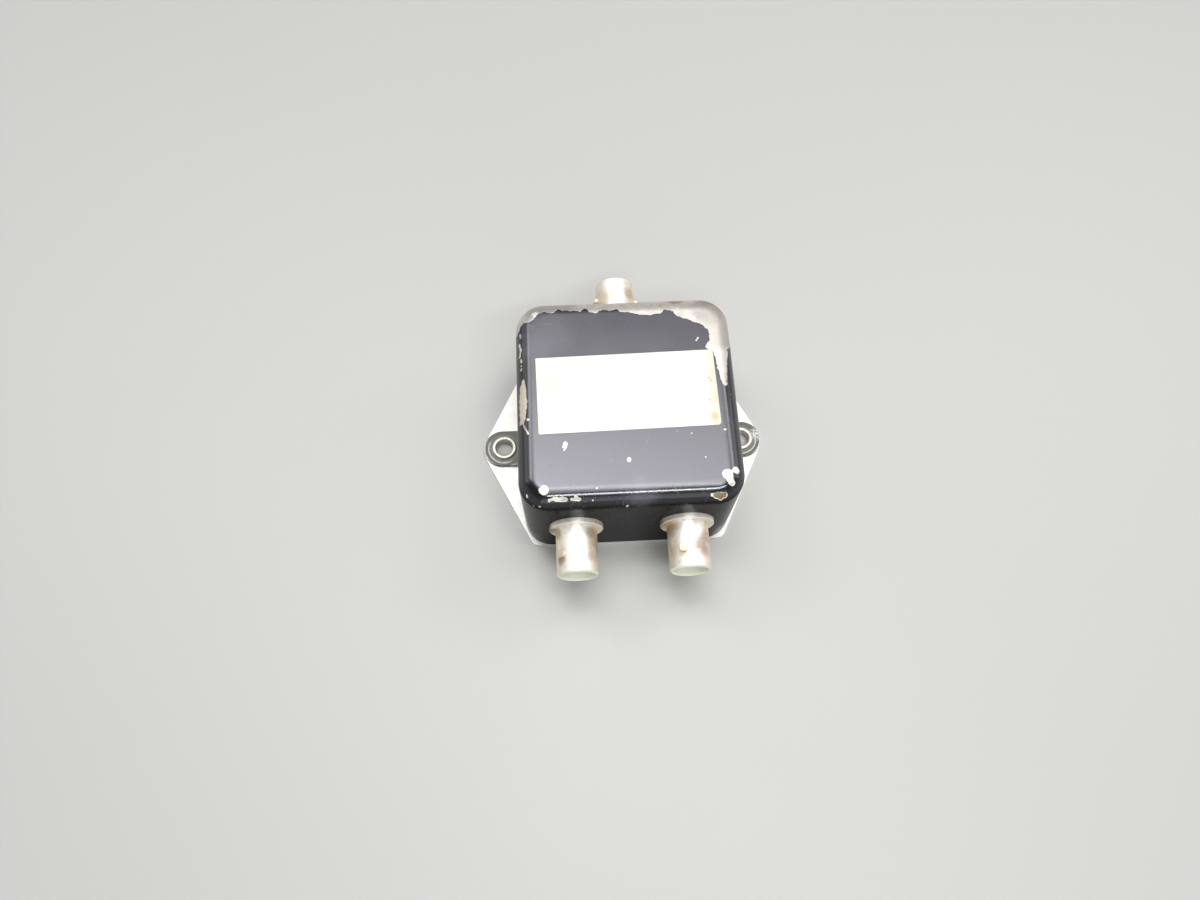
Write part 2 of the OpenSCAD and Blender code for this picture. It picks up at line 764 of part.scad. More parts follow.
housing();
base_plate();
label_plate();
eyelet_left();
eyelet_right();
antenna_shell();
antenna_insulator();
antenna_contact();
antenna_lock_washer();
antenna_earth_tag();
antenna_nut();
antenna_lead();
receiver_left_shell();
receiver_left_insulator();
receiver_left_contact();
receiver_left_lock_washer();
receiver_left_earth_tag();
receiver_left_nut();
receiver_left_lead();
receiver_right_shell();
receiver_right_insulator();
receiver_right_contact();
receiver_right_lock_washer();
receiver_right_earth_tag();
receiver_right_nut();
receiver_right_lead();
circuit_board();
solder_joints();
transformer_core();
primary_winding();
secondary_winding();
balance_resistor();
capacitor_left();
capacitor_right();
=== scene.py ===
"""Looks of an antenna coupler: a black-painted drawn can, worn to bare metal, with three bayonet jacks."""
import logging
import math
from dataclasses import dataclass, field
from enum import Enum
from functools import partial, reduce

import bpy
import numpy as np
from mathutils import Matrix, Vector, noise


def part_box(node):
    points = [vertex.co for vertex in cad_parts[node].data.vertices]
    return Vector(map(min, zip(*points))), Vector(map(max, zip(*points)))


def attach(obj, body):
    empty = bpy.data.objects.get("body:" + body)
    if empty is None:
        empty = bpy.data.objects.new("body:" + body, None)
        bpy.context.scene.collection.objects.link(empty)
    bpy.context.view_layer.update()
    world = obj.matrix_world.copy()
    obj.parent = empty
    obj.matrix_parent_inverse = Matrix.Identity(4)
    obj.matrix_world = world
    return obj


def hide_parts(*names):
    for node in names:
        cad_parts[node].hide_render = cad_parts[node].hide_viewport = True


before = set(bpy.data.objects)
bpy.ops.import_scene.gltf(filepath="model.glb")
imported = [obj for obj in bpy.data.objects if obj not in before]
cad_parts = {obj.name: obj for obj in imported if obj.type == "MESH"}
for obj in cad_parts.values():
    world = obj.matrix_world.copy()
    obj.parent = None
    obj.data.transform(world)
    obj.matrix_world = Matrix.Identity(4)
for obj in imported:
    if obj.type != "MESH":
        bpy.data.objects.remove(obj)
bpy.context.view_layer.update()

log = logging.getLogger("antenna_coupler")

MM = 0.001
Point = tuple[float, float, float]
Place = tuple[float, float]
Colour = tuple[float, float, float]
Socket = bpy.types.NodeSocket
Value = float | Socket
Tone = Colour | Socket


class Slot(Enum):
    """Names of two material slots, which nothing in this script uses."""

    PAINT = "black_paint"
    LABEL = "label_stock"


class Grain(Enum):
    """How the pattern of a plain finish runs."""

    CLOUDED = (1.0, 1.0, 1.0)
    BRUSHED_ACROSS = (30.0, 1.0, 1.0)


@dataclass(frozen=True)
class Spot:
    """A round place on a surface that has its own colour."""

    at: Point
    reach: float
    colour: Colour
    share: float = 1.0


def put(name: str, data: bpy.types.ID) -> bpy.types.Object:
    """Makes an object and puts it in the scene.

    Args:
        name: Its name.
        data: Its mesh, light or camera.

    Returns:
        The new object.
    """
    made = bpy.data.objects.new(name, data)
    bpy.context.scene.collection.objects.link(made)
    return made


def add_piece(name: str, mesh: bpy.types.Mesh) -> bpy.types.Object:
    """Makes a piece of the object from a finished mesh and lets it ride on the part.

    Args:
        name: The piece's name.
        mesh: Its mesh, in metres and in place.

    Returns:
        The new object.
    """
    piece = put(name, mesh)
    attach(piece, "root")
    return piece


def mesh_from(name: str, points: list[Point], faces: list[tuple[int, ...]]) -> bpy.types.Mesh:
    """Makes a smooth-shaded mesh from points in millimetres.

    Args:
        name: The mesh's name.
        points: Its corners, in millimetres.
        faces: Its faces, anticlockwise seen from outside.

    Returns:
        The mesh, in metres.
    """
    mesh = bpy.data.meshes.new(name)
    mesh.from_pydata([tuple(c * MM for c in p) for p in points], [], faces)
    mesh.shade_smooth()
    mesh.update()
    return mesh


def sharpen(mesh: bpy.types.Mesh, pairs: list[tuple[int, int]]) -> None:
    """Marks edges as sharp, so that shading doesn't run round them.

    Args:
        mesh: The mesh.
        pairs: The two points of each edge.
    """
    sharp = {frozenset(pair) for pair in pairs}
    for edge in mesh.edges:
        edge.use_edge_sharp = frozenset(edge.vertices) in sharp


@dataclass
class NodeBench:
    """A node tree that is being put together."""

    tree: bpy.types.NodeTree

    def fill(self, node: bpy.types.Node, inputs: dict) -> None:
        """Sets or links a node's inputs.

        Args:
            node: The node.
            inputs: A number, colour, vector or socket for each input's name or number.
        """
        for name, value in inputs.items():
            socket = node.inputs[name]
            if isinstance(value, Socket):
                self.tree.links.new(value, socket)
            elif socket.type == "RGBA":
                socket.default_value = (*value, 1.0)
            else:
                socket.default_value = value

    def node(self, kind: str, inputs: dict, **settings: object) -> bpy.types.Node:
        """Adds a node.

        Args:
            kind: Blender's name for the kind of node.
            inputs: What its inputs get.
            **settings: Its properties.

        Returns:
            The node.
        """
        made = self.tree.nodes.new(kind)
        for name, value in settings.items():
            setattr(made, name, value)
        self.fill(made, inputs)
        return made


class Shade(NodeBench):
    """One material, with a method for each kind of pattern that its finish is made of."""

    def __init__(self, name: str) -> None:
        """Starts a material with one Principled surface.

        Args:
            name: The material's name.
        """
        self.material = bpy.data.materials.new(name)
        self.material.use_nodes = True
        super().__init__(self.material.node_tree)
        self.surface = self.tree.nodes["Principled BSDF"]
        self.coordinates = self.node("ShaderNodeTexCoord", {})

    def place(self, centre: Point = (0, 0, 0), turn: float = 0.0, stretch: Point = (1, 1, 1)) -> Socket:
        """Object coordinates in millimetres about a point of the part.

        Args:
            centre: The point that becomes the origin, in millimetres.
            turn: The turn about Z, in degrees.
            stretch: How much longer patterns come out along each turned axis.

        Returns:
            The coordinates.
        """
        return self.node("ShaderNodeMapping", {
            "Vector": self.coordinates.outputs["Object"],
            "Location": [c * MM for c in centre],
            "Rotation": (0, 0, math.radians(turn)),
            "Scale": [s * MM for s in stretch],
        }, vector_type="TEXTURE").outputs["Vector"]

    def axes(self, at: Socket) -> tuple[Socket, Socket, Socket]:
        """The three parts of a vector."""
        return tuple(self.node("ShaderNodeSeparateXYZ", {"Vector": at}).outputs)

    def length(self, *parts: Value) -> Socket:
        """The length of a vector, given by its three parts."""
        whole = self.node("ShaderNodeCombineXYZ", dict(enumerate(parts))).outputs["Vector"]
        return self.node("ShaderNodeVectorMath", {0: whole}, operation="LENGTH").outputs["Value"]

    def noise(self, at: Socket, size: float, detail: float = 3, rough: float = 0.5,
              bend: float = 0) -> Socket:
        """Soft noise between 0 and 1.

        Args:
            at: Where it is read.
            size: The size of its blotches, in millimetres.
            detail: How many finer layers it has.
            rough: How strong the finer layers are.
            bend: How much it is swirled.

        Returns:
            The noise's value.
        """
        inputs = {"Vector": at, "Scale": 1 / size, "Detail": detail, "Roughness": rough, "Distortion": bend}
        return self.node("ShaderNodeTexNoise", inputs).outputs["Fac"]

    def wobble(self, at: Socket, size: float, reach: float) -> Socket:
        """Coordinates that wander, which makes round masks ragged.

        Args:
            at: The coordinates.
            size: The size of the waves, in millimetres.
            reach: How far they move a place at most, in millimetres.

        Returns:
            The moved coordinates.
        """
        wave = self.node("ShaderNodeTexNoise", {"Vector": at, "Scale": 1 / size, "Detail": 4.0})
        ends = {6: wave.outputs["Color"], 9: [-reach] * 3, 10: [reach] * 3}
        shift = self.node("ShaderNodeMapRange", ends, data_type="FLOAT_VECTOR").outputs[1]
        return self.node("ShaderNodeVectorMath", {0: at, 1: shift}, operation="ADD").outputs["Vector"]

    def specks(self, at: Socket, spacing: float, reach: float) -> Socket:
        """Scattered dots, 1 on a dot and 0 between.

        Args:
            at: Where they are read.
            spacing: Their distance from each other, in millimetres.
            reach: A dot's radius as a share of the spacing.

        Returns:
            The mask.
        """
        cells = self.node("ShaderNodeTexVoronoi", {"Vector": at, "Scale": 1 / spacing, "Randomness": 1.0})
        return self.step(cells.outputs["Distance"], reach, reach / 2)

    def math(self, operation: str, *values: Value) -> Socket:
        """The result of one sum on numbers or sockets."""
        return self.node("ShaderNodeMath", dict(enumerate(values)), operation=operation).outputs[0]

    def times(self, *values: Value) -> Socket:
        """The product of numbers or sockets."""
        return reduce(partial(self.math, "MULTIPLY"), values)

    def plus(self, value: Value, other: Value) -> Socket:
        """The sum of two numbers or sockets."""
        return self.math("ADD", value, other)

    def most(self, value: Value, other: Value) -> Socket:
        """The larger of two numbers or sockets."""
        return self.math("MAXIMUM", value, other)

    def step(self, value: Socket, low: float, high: float) -> Socket:
        """A smooth step, 0 at low and 1 at high, which may be the smaller of the two."""
        inputs = {"Value": value, "From Min": low, "From Max": high}
        return self.node("ShaderNodeMapRange", inputs, interpolation_type="SMOOTHSTEP").outputs["Result"]

    def band(self, value: Socket, outer: Place, inner: Place) -> Socket:
        """A soft band, 0 outside the outer ends and 1 between the inner ones."""
        return self.times(self.step(value, outer[0], inner[0]), self.step(value, outer[1], inner[1]))

    def span(self, value: Socket, low: float, high: float) -> Socket:
        """Spreads a value between 0 and 1 over the range from low to high."""
        inputs = {"Value": value, "To Min": low, "To Max": high}
        return self.node("ShaderNodeMapRange", inputs).outputs["Result"]

    def blend(self, share: Socket, under: Value, over: Value) -> Socket:
        """A value between two, under at share 0 and over at share 1."""
        return self.node("ShaderNodeMix", {0: share, 2: under, 3: over}, data_type="FLOAT").outputs[0]

    def near(self, at: Socket, point: Point, reach: float, soft: float) -> Socket:
        """A round mask about a point.

        Args:
            at: Where it is read.
            point: Its middle.
            reach: Its radius.
            soft: Half the width of its soft edge.

        Returns:
            The mask, 1 inside.
        """
        gap = self.node("ShaderNodeVectorMath", {0: at, 1: point}, operation="DISTANCE").outputs["Value"]
        return self.step(gap, reach + soft, max(reach - soft, 0.0))

    def lay(self, under: Tone, over: Tone, *masks: Value) -> Socket:
        """Lays one colour over another, as strongly as the product of the masks."""
        inputs = {0: self.times(*masks), 6: under, 7: over}
        return self.node("ShaderNodeMix", inputs, data_type="RGBA").outputs[2]

    def spots(self, colour: Tone, at: Socket, spots: tuple[Spot, ...], soft: float,
              patch: Value = 1.0) -> Tone:
        """Lays round spots over a colour.

        Args:
            colour: The colour under them.
            at: Where they are read, which makes them ragged if it wanders.
            spots: The spots.
            soft: Half the width of their soft edge, as a share of their radius.
            patch: A mask that breaks them up.

        Returns:
            The colour with its spots.
        """
        for spot in spots:
            round_mask = self.near(at, spot.at, spot.reach, soft * spot.reach)
            colour = self.lay(colour, spot.colour, round_mask, patch, spot.share)
        return colour

    def bump(self, height: Socket, depth: float, strength: float = 1.0) -> Socket:
        """A normal for a height between 0 and 1 that stands for a depth in millimetres."""
        inputs = {"Height": height, "Distance": depth * MM, "Strength": strength}
        return self.node("ShaderNodeBump", inputs).outputs["Normal"]

    def finish(self, inputs: dict) -> bpy.types.Material:
        """Gives the Principled surface its inputs.

        Args:
            inputs: A number, colour or socket for each input's name.

        Returns:
            The finished material.
        """
        self.fill(self.surface, inputs)
        return self.material


@dataclass(frozen=True)
class PlainFinish:
    """A finish with one colour, a second one in its pattern, and wear in its gloss."""

    name: str
    colour: Colour
    second: Colour
    metallic: float = 0.0
    roughness: Place = (0.4, 0.6)
    grain: Grain = Grain.CLOUDED
    size: float = 2.0
    depth: float = 0.01
    turn: float = 0.0
    coat: float = 0.0
    contrast: Place = (0.35, 0.7)

    def material(self) -> bpy.types.Material:
        """Builds the finish's material.

        Returns:
            The material.
        """
        shade = Shade(self.name)
        at = shade.place(turn=self.turn, stretch=self.grain.value)
        pattern = shade.noise(at, self.size, detail=5, rough=0.6)
        cloud = shade.noise(shade.place(), 4 * self.size, detail=3)
        return shade.finish({
            "Base Color": shade.lay(self.colour, self.second, shade.step(pattern, *self.contrast)),
            "Metallic": self.metallic,
            "Roughness": shade.span(cloud, *self.roughness),
            "Coat Weight": self.coat,
            "Normal": shade.bump(pattern, self.depth),
        })


def metal_finish(name: str, colour: Colour, second: Colour, roughness: Place, size: float) -> PlainFinish:
    """A plain finish of bare metal."""
    return PlainFinish(name, colour, second, 1.0, roughness, size=size)


@dataclass(frozen=True)
class PaintFinish:
    """Old black paint: a dusty grey cast on the roof that is partly a painted sheen, glossier bends, dark
    walls and scuffs.
    """

    name: str = "worn_black_paint"
    black: Colour = (0.007, 0.007, 0.008)
    haze_and_sheen: Colour = (0.035, 0.034, 0.045)
    scuffed: Colour = (0.34, 0.33, 0.31)
    tint: Colour = (0.91, 0.91, 1.0)
    roof_from: Place = (31.58, 31.82)
    wall_from: Place = (30.8, 28.6)
    roof_rough: Place = (0.26, 0.35)
    wall_rough: Place = (0.13, 0.20)
    index: float = 1.6
    shine: float = 0.9
    front_shine: float = 0.035
    rear_shine: float = 0.35
    front_to_rear: Place = (-22.0, 12.0)
    scuff_turns: tuple[float, ...] = (11.0, -24.0, 82.0)
    scuff_stretch: Point = (1, 40, 1)
    scuff_share: float = 0.35
    scuff_rough: float = 0.12
    smudges: tuple[Spot, ...] = (
        Spot((1.5, -24.3, 30.9), 3.2, (0.095, 0.092, 0.105), 0.9),
        Spot((-16.5, 17.0, 31.75), 4.0, (0.085, 0.080, 0.095), 0.6),
        Spot((-20.5, 13.0, 31.75), 3.2, (0.085, 0.080, 0.095), 0.6),
    )

    def scuffs(self, shade: Shade) -> Socket:
        """Fine hairline scratches, each set lying one way.

        Args:
            shade: The material being built.

        Returns:
            Their mask.
        """
        lines: Value = 0.0
        for turn in self.scuff_turns:
            along = shade.place(turn=turn, stretch=self.scuff_stretch)
            line = shade.step(shade.noise(along, size=0.35, detail=1), 0.73, 0.79)
            where = shade.step(shade.noise(shade.place(turn=turn), size=9.0), 0.50, 0.62)
            lines = shade.most(lines, shade.times(line, where))
        return lines

    def material(self) -> bpy.types.Material:
        """Builds the paint's material.

        Returns:
            The material.
        """
        shade = Shade(self.name)
        at = shade.place()
        _, depth, height = shade.axes(at)
        roof = shade.step(height, *self.roof_from)
        cloud = shade.noise(at, size=8.0, detail=6, rough=0.62)
        mottle = shade.noise(at, size=1.1, detail=4, rough=0.7)
        orange_peel = shade.noise(at, size=0.55, detail=2)
        # Dust on the roof and the upper bends, partly painted sheen: the top is lightened and tinted for the
        # reflection of the light overhead.
        haze_and_sheen_masks = (roof, shade.span(cloud, 0.2, 1.1), shade.span(mottle, 0.6, 1.25))
        colour = shade.lay(self.black, self.haze_and_sheen, *haze_and_sheen_masks)
        bent = shade.wobble(at, size=2.5, reach=2.2)
        for smudge in self.smudges:
            soft_mask = shade.near(bent, smudge.at, smudge.reach, 0.7 * smudge.reach)
            colour = shade.lay(colour, smudge.colour, soft_mask, shade.span(mottle, 0.4, smudge.share))
        scuffs = self.scuffs(shade)
        colour = shade.lay(colour, self.scuffed, scuffs, self.scuff_share)
        rough = shade.blend(roof, shade.span(cloud, *self.wall_rough), shade.span(cloud, *self.roof_rough))
        wall_shine = shade.span(shade.step(depth, *self.front_to_rear), self.front_shine, self.rear_shine)
        return shade.finish({
            "Base Color": colour,
            "Roughness": shade.plus(rough, shade.times(scuffs, self.scuff_rough)),
            "IOR": self.index,
            "Specular IOR Level": shade.blend(shade.step(height, *self.wall_from), self.shine, wall_shine),
            "Specular Tint": self.tint,
            "Normal": shade.bump(orange_peel, depth=0.010, strength=0.5),
        })


@dataclass(frozen=True)
class PrimerFinish:
    """The broken edge of the paint: pale round the chips on the roof and in front, partly a painted
    highlight, and dull brown elsewhere.
    """

    name: str = "broken_paint_edge"
    pale: Colour = (0.82, 0.79, 0.74)
    dull: Colour = (0.20, 0.165, 0.14)
    roof_z: Place = (31.45, 31.6)
    front_y: Place = (-21.0, -22.5)

    def material(self) -> bpy.types.Material:
        """Builds the broken edge's material.

        Returns:
            The material.
        """
        shade = Shade(self.name)
        at = shade.place()
        _, y, z = shade.axes(at)
        patches = shade.noise(at, size=1.1, detail=4, rough=0.6)
        # Pale on the roof and the front: partly the primer's own colour, partly a painted highlight where the
        # broken edge catches the light.
        highlit_roof_and_front = shade.most(shade.step(z, *self.roof_z), shade.step(y, *self.front_y))
        return shade.finish({
            "Base Color": shade.lay(self.dull, self.pale, highlit_roof_and_front, shade.step(patches, 0.32, 0.50)),
            "Roughness": 0.55,
            "Normal": shade.bump(shade.noise(at, size=0.2), depth=0.02),
        })


@dataclass(frozen=True)
class HousingFinish:
    """What the can shows under its paint coat: dull bare metal, rust, the ears' own thin paint, and painted
    highlights on the flat roof, on chip floors and on the ears.
    """

    name: str = "bare_can_and_ears"
    metal: Colour = (0.52, 0.485, 0.44)
    light: Colour = (0.64, 0.60, 0.56)
    patina: Colour = (0.34, 0.30, 0.26)
    white: Colour = (0.93, 0.93, 0.91)
    ear_paint: Colour = (0.075, 0.072, 0.065)
    ear_scuff: Colour = (0.16, 0.155, 0.135)
    ear_glint_and_wear: Colour = (0.55, 0.55, 0.50)
    wall_x: float = 25.46
    hole_x: float = 30.5
    washer_r: float = 3.75
    groove_outer: Place = (3.36, 3.62)
    groove_inner: Place = (3.44, 3.54)
    arc_outer: Place = (3.80, 4.26)
    arc_inner: Place = (3.98, 4.08)
    rim_from: Place = (4.85, 5.0)
    top_from: Place = (1.2, 1.9)
    diagonal: float = 0.7
    lit_side_from: Place = (0.2, 2.6)
    rubbed_tip: Point = (34.9, 1.2, 2.0)
    flat_z: Place = (31.5, 31.7)
    flat_y: Place = (20.0, 17.0)
    spots: tuple[Spot, ...] = ()

    def ears(self, shade: Shade, at: Socket) -> tuple[Socket, Socket]:
        """The ears' thin paint, worn by washers round each hole and at one tip, with painted highlights in
        two arcs, on the raised ring and the edge where they face the light, and painted shade in the channel
        inside the ring.

        Args:
            shade: The material being built.
            at: Coordinates in millimetres.

        Returns:
            The mask of the ears and their colour.
        """
        x, y, z = shade.axes(at)
        out = shade.math("ABSOLUTE", x)
        on_ear = shade.step(out, self.wall_x, self.wall_x + 0.04)
        beyond = shade.math("SUBTRACT", out, self.hole_x)
        grain = shade.noise(at, size=0.5, detail=5, rough=0.75)
        ragged = shade.plus(shade.length(beyond, y, 0.0), shade.span(grain, -0.16, 0.16))
        ring = shade.step(ragged, self.washer_r + 0.35, self.washer_r - 0.25)
        corner = shade.math("SUBTRACT", shade.times(beyond, self.diagonal), shade.times(y, self.diagonal))
        rim = shade.times(shade.step(ragged, *self.rim_from), shade.step(z, *self.top_from))
        arc = shade.band(ragged, self.arc_outer, self.arc_inner)
        # Painted highlight: the raised ring and the ear's edge are lightened only on the side that faces the
        # light.
        lit_arcs = (shade.most(arc, rim), shade.step(corner, *self.lit_side_from), shade.step(grain, 0.30, 0.55))
        tip = shade.near(at, self.rubbed_tip, reach=1.5, soft=0.9)
        tip = shade.times(tip, shade.step(grain, 0.42, 0.52))
        colour = shade.lay(self.ear_paint, self.ear_scuff, ring, 0.7)
        colour = shade.lay(colour, self.ear_scuff, shade.step(grain, 0.50, 0.70), 0.8)
        # Painted shade in the channel inside the raised ring.
        groove_shade = shade.band(ragged, self.groove_outer, self.groove_inner)
        colour = shade.lay(colour, self.ear_paint, groove_shade, 0.5)
        return on_ear, shade.lay(colour, self.ear_glint_and_wear, shade.most(shade.times(*lit_arcs), tip))

    def material(self) -> bpy.types.Material:
        """Builds the can's material.

        Returns:
            The material.
        """
        shade = Shade(self.name)
        at = shade.place()
        cloud = shade.noise(at, size=2.6, detail=6, rough=0.65)
        fine = shade.noise(at, size=0.5, detail=4, rough=0.7)
        blotch = shade.noise(shade.place((7, 3, 0)), size=1.5, detail=5, rough=0.7)
        _, y, z = shade.axes(at)
        colour = shade.lay(self.metal, self.light, shade.step(cloud, 0.36, 0.66))
        colour = shade.lay(colour, self.patina, shade.step(fine, 0.50, 0.72), 0.45)
        colour = shade.lay(colour, self.patina, shade.step(blotch, 0.54, 0.70), 0.5)
        # Painted highlight: bare metal on the flat roof is lightened towards a pale tone where it faces the
        # lights overhead.
        colour = shade.lay(colour, self.white, shade.step(z, *self.flat_z), shade.step(y, *self.flat_y), 0.3)
        colour = shade.spots(colour, shade.wobble(at, size=1.1, reach=1.0), self.spots, soft=0.3)
        on_ear, ear_colour = self.ears(shade, at)
        return shade.finish({
            "Base Color": shade.lay(colour, ear_colour, on_ear),
            "Metallic": shade.span(on_ear, 0.6, 0.1),
            "Roughness": shade.span(fine, 0.32, 0.50),
            "Normal": shade.bump(fine, depth=0.008, strength=0.6),
        })


@dataclass(frozen=True)
class PlatingFinish:
    """Tarnished silvery plating on one jack, streaked along the barrel and brown where it was handled, with
    painted shade on its sides, its underside and next to its lugs, and a painted lit look in its mouth and on
    its front lip.
    """

    name: str
    axis_x: float
    wall_y: float
    facing: float
    stains: tuple[Spot, ...] = ()
    lugs: tuple[Point, ...] = ()
    silver: Colour = (0.92, 0.90, 0.86)
    warm_tone_and_side_shade: Colour = (0.86, 0.77, 0.60)
    worn: Colour = (0.66, 0.58, 0.46)
    brown: Colour = (0.50, 0.37, 0.22)
    dark: Colour = (0.20, 0.14, 0.09)
    # Pale colour for the mouth's inner wall, a painted lit look.
    inside: Colour = (0.92, 0.95, 0.81)
    axis_z: float = 16.25
    barrel_r: float = 4.825
    mouth_r: float = 4.05
    flange_t: float = 1.3
    front: float = 12.2
    shaded_side_from: Place = (0.40, 0.95)
    shaded_under_from: Place = (0.5, -2.5)
    lug_y: Place = (5.6, 6.0)
    mouth_y: Place = (3.0, 3.5)

    def material(self) -> bpy.types.Material:
        """Builds the plating's material.

        Returns:
            The material.
        """
        shade = Shade(self.name)
        centre = (self.axis_x, self.wall_y, self.axis_z)
        at = shade.place(centre, self.facing)
        streaky = shade.place(centre, self.facing, (1, 5, 1))
        x, y, z = shade.axes(at)
        radius = shade.length(x, 0.0, z)
        on_barrel = shade.step(radius, self.barrel_r + 0.35, self.barrel_r + 0.1)
        # Painted shade: the barrel's sides and underside, where the round shell turns from the light, are
        # made warmer and browner, with tarnish streaks in them.
        side = shade.step(shade.math("DIVIDE", shade.math("ABSOLUTE", x), self.barrel_r), *self.shaded_side_from)
        side = shade.most(side, shade.step(z, *self.shaded_under_from))
        streak = shade.noise(streaky, size=1.1, detail=5, rough=0.65)
        blotch = shade.noise(at, size=2.2, detail=5, rough=0.6, bend=0.4)
        collar = shade.step(y, self.flange_t + 1.0, self.flange_t + 0.1)
        tarnish_and_side_shade = shade.times(side, shade.step(streak, 0.40, 0.66))
        tarnish_and_side_shade = shade.most(tarnish_and_side_shade, shade.times(collar, shade.step(blotch, 0.44, 0.60)))
        tarnish_and_side_shade = shade.times(tarnish_and_side_shade, shade.span(on_barrel, 0.15, 1.0))
        colour = shade.lay(self.silver, self.warm_tone_and_side_shade, shade.step(blotch, 0.46, 0.72))
        colour = shade.lay(colour, self.warm_tone_and_side_shade, side, 0.7)
        colour = shade.lay(colour, self.brown, tarnish_and_side_shade, 0.5)
        colour = shade.spots(colour, at, self.stains, soft=0.55, patch=shade.step(blotch, 0.25, 0.50))
        raised = shade.step(radius, self.barrel_r + 0.2, self.barrel_r + 0.4)
        colour = shade.lay(colour, self.worn, raised, shade.step(y, *self.lug_y), 0.75)
        bent = shade.wobble(at, size=0.7, reach=0.35)
        # Painted shade: a brown halo round each lug on the barrel.
        for lug in self.lugs:
            lug_shade = shade.near(bent, lug, reach=1.3, soft=0.3)
            colour = shade.lay(colour, self.brown, lug_shade, on_barrel, 0.4)
        colour = shade.lay(colour, self.dark, shade.specks(streaky, spacing=0.9, reach=0.13), 0.35)
        # Painted light: the inside of the mouth gets a pale, barely metallic colour so that it looks lit.
        hollow = shade.step(radius, self.mouth_r + 0.32, self.mouth_r + 0.22)
        hollow = shade.times(hollow, shade.step(y, *self.mouth_y))
        colour = shade.lay(colour, self.inside, hollow)
        # Painted highlight on the front lip.
        colour = shade.lay(colour, self.inside, shade.step(y, self.front - 0.45, self.front - 0.2), 0.5)
        rough = shade.plus(shade.span(blotch, 0.26, 0.42), shade.times(tarnish_and_side_shade, 0.2))
        return shade.finish({
            "Base Color": colour,
            "Metallic": shade.span(hollow, 0.5, 0.05),
            "Roughness": shade.plus(rough, shade.times(hollow, 0.15)),
            "Normal": shade.bump(streak, depth=0.02, strength=0.5),
        })


@dataclass(frozen=True)
class LabelFinish:
    """A blank label gone cream, yellow at its left end and stained brown at its right."""

    width: float
    length: float
    centre: Place
    turn: float
    name: str = "aged_label"
    paper: Colour = (0.77, 0.76, 0.72)
    yellow: Colour = (0.80, 0.76, 0.55)
    cream: Colour = (0.60, 0.53, 0.38)
    brown: Colour = (0.36, 0.22, 0.11)
    grime: Colour = (0.17, 0.14, 0.12)
    level: float = 31.9
    yellow_x: Place = (-9.0, -17.0)
    cream_x: Place = (18.2, 19.3)
    marked_x: Place = (13.5, 20.0)
    stains: tuple[Spot, ...] = (
        Spot((19.2, -7.3, 0.0), 1.0, (0.60, 0.42, 0.22), 0.85),
        Spot((20.2, -3.0, 0.0), 0.9, (0.62, 0.50, 0.34), 0.6),
        Spot((20.3, 3.6, 0.0), 1.2, (0.64, 0.54, 0.40), 0.6),
        Spot((17.9, 7.9, 0.0), 0.8, (0.46, 0.44, 0.43), 0.6),
        Spot((17.4, 0.4, 0.0), 0.5, (0.42, 0.40, 0.38), 0.6),
        Spot((19.4, 1.5, 0.0), 0.35, (0.36, 0.28, 0.20), 0.7),
        Spot((18.6, -3.2, 0.0), 0.35, (0.36, 0.28, 0.20), 0.7),
        Spot((16.7, -8.4, 0.0), 0.35, (0.40, 0.36, 0.32), 0.7),
        Spot((-10.3, 5.0, 0.0), 0.35, (0.50, 0.50, 0.50), 0.6),
        Spot((-12.5, -6.2, 0.0), 0.35, (0.55, 0.55, 0.54), 0.5),
        Spot((-16.9, 1.8, 0.0), 2.6, (0.82, 0.79, 0.50), 0.6),
        Spot((-11.7, -8.2, 0.0), 1.3, (0.80, 0.74, 0.50), 0.5),
    )

    def material(self) -> bpy.types.Material:
        """Builds the label's material.

        Returns:
            The material.
        """
        shade = Shade(self.name)
        middle = (*self.centre, self.level)
        at = shade.place(middle, self.turn)
        x, y, _ = shade.axes(at)
        cloud = shade.noise(at, size=4.0, detail=5, rough=0.6)
        fibre = shade.noise(shade.place(middle, self.turn, (5, 1, 1)), size=0.25, detail=3)
        stain = shade.step(shade.noise(at, size=1.5, detail=5, rough=0.7), 0.56, 0.68)
        dots = shade.specks(shade.place(middle, turn=17), spacing=1.3, reach=0.17)
        edge_x = shade.math("SUBTRACT", self.width / 2, shade.math("ABSOLUTE", x))
        edge_y = shade.math("SUBTRACT", self.length / 2, shade.math("ABSOLUTE", y))
        rim = shade.step(shade.math("MINIMUM", edge_x, edge_y), 0.35, 0.05)
        colour = shade.lay(
            self.paper, self.yellow, shade.step(x, *self.yellow_x), shade.step(cloud, 0.34, 0.62), 0.7)
        at_end = shade.step(x, *self.cream_x)
        colour = shade.lay(colour, self.cream, at_end, shade.span(fibre, 0.6, 1.0), 0.75)
        colour = shade.lay(colour, self.brown, shade.step(x, *self.marked_x), shade.most(stain, dots), 0.5)
        bent = shade.wobble(at, size=0.7, reach=0.6)
        colour = shade.spots(colour, bent, self.stains, soft=0.4, patch=shade.span(cloud, 0.5, 1.2))
        grit = shade.specks(shade.place(middle, turn=40), spacing=5.0, reach=0.05)
        colour = shade.lay(colour, self.grime, grit, 0.6)
        colour = shade.lay(colour, self.cream, rim, shade.span(cloud, 0.1, 0.6))
        return shade.finish({
            "Base Color": colour,
            "Roughness": shade.span(cloud, 0.36, 0.55),
            "Normal": shade.bump(fibre, depth=0.012, strength=0.4),
        })


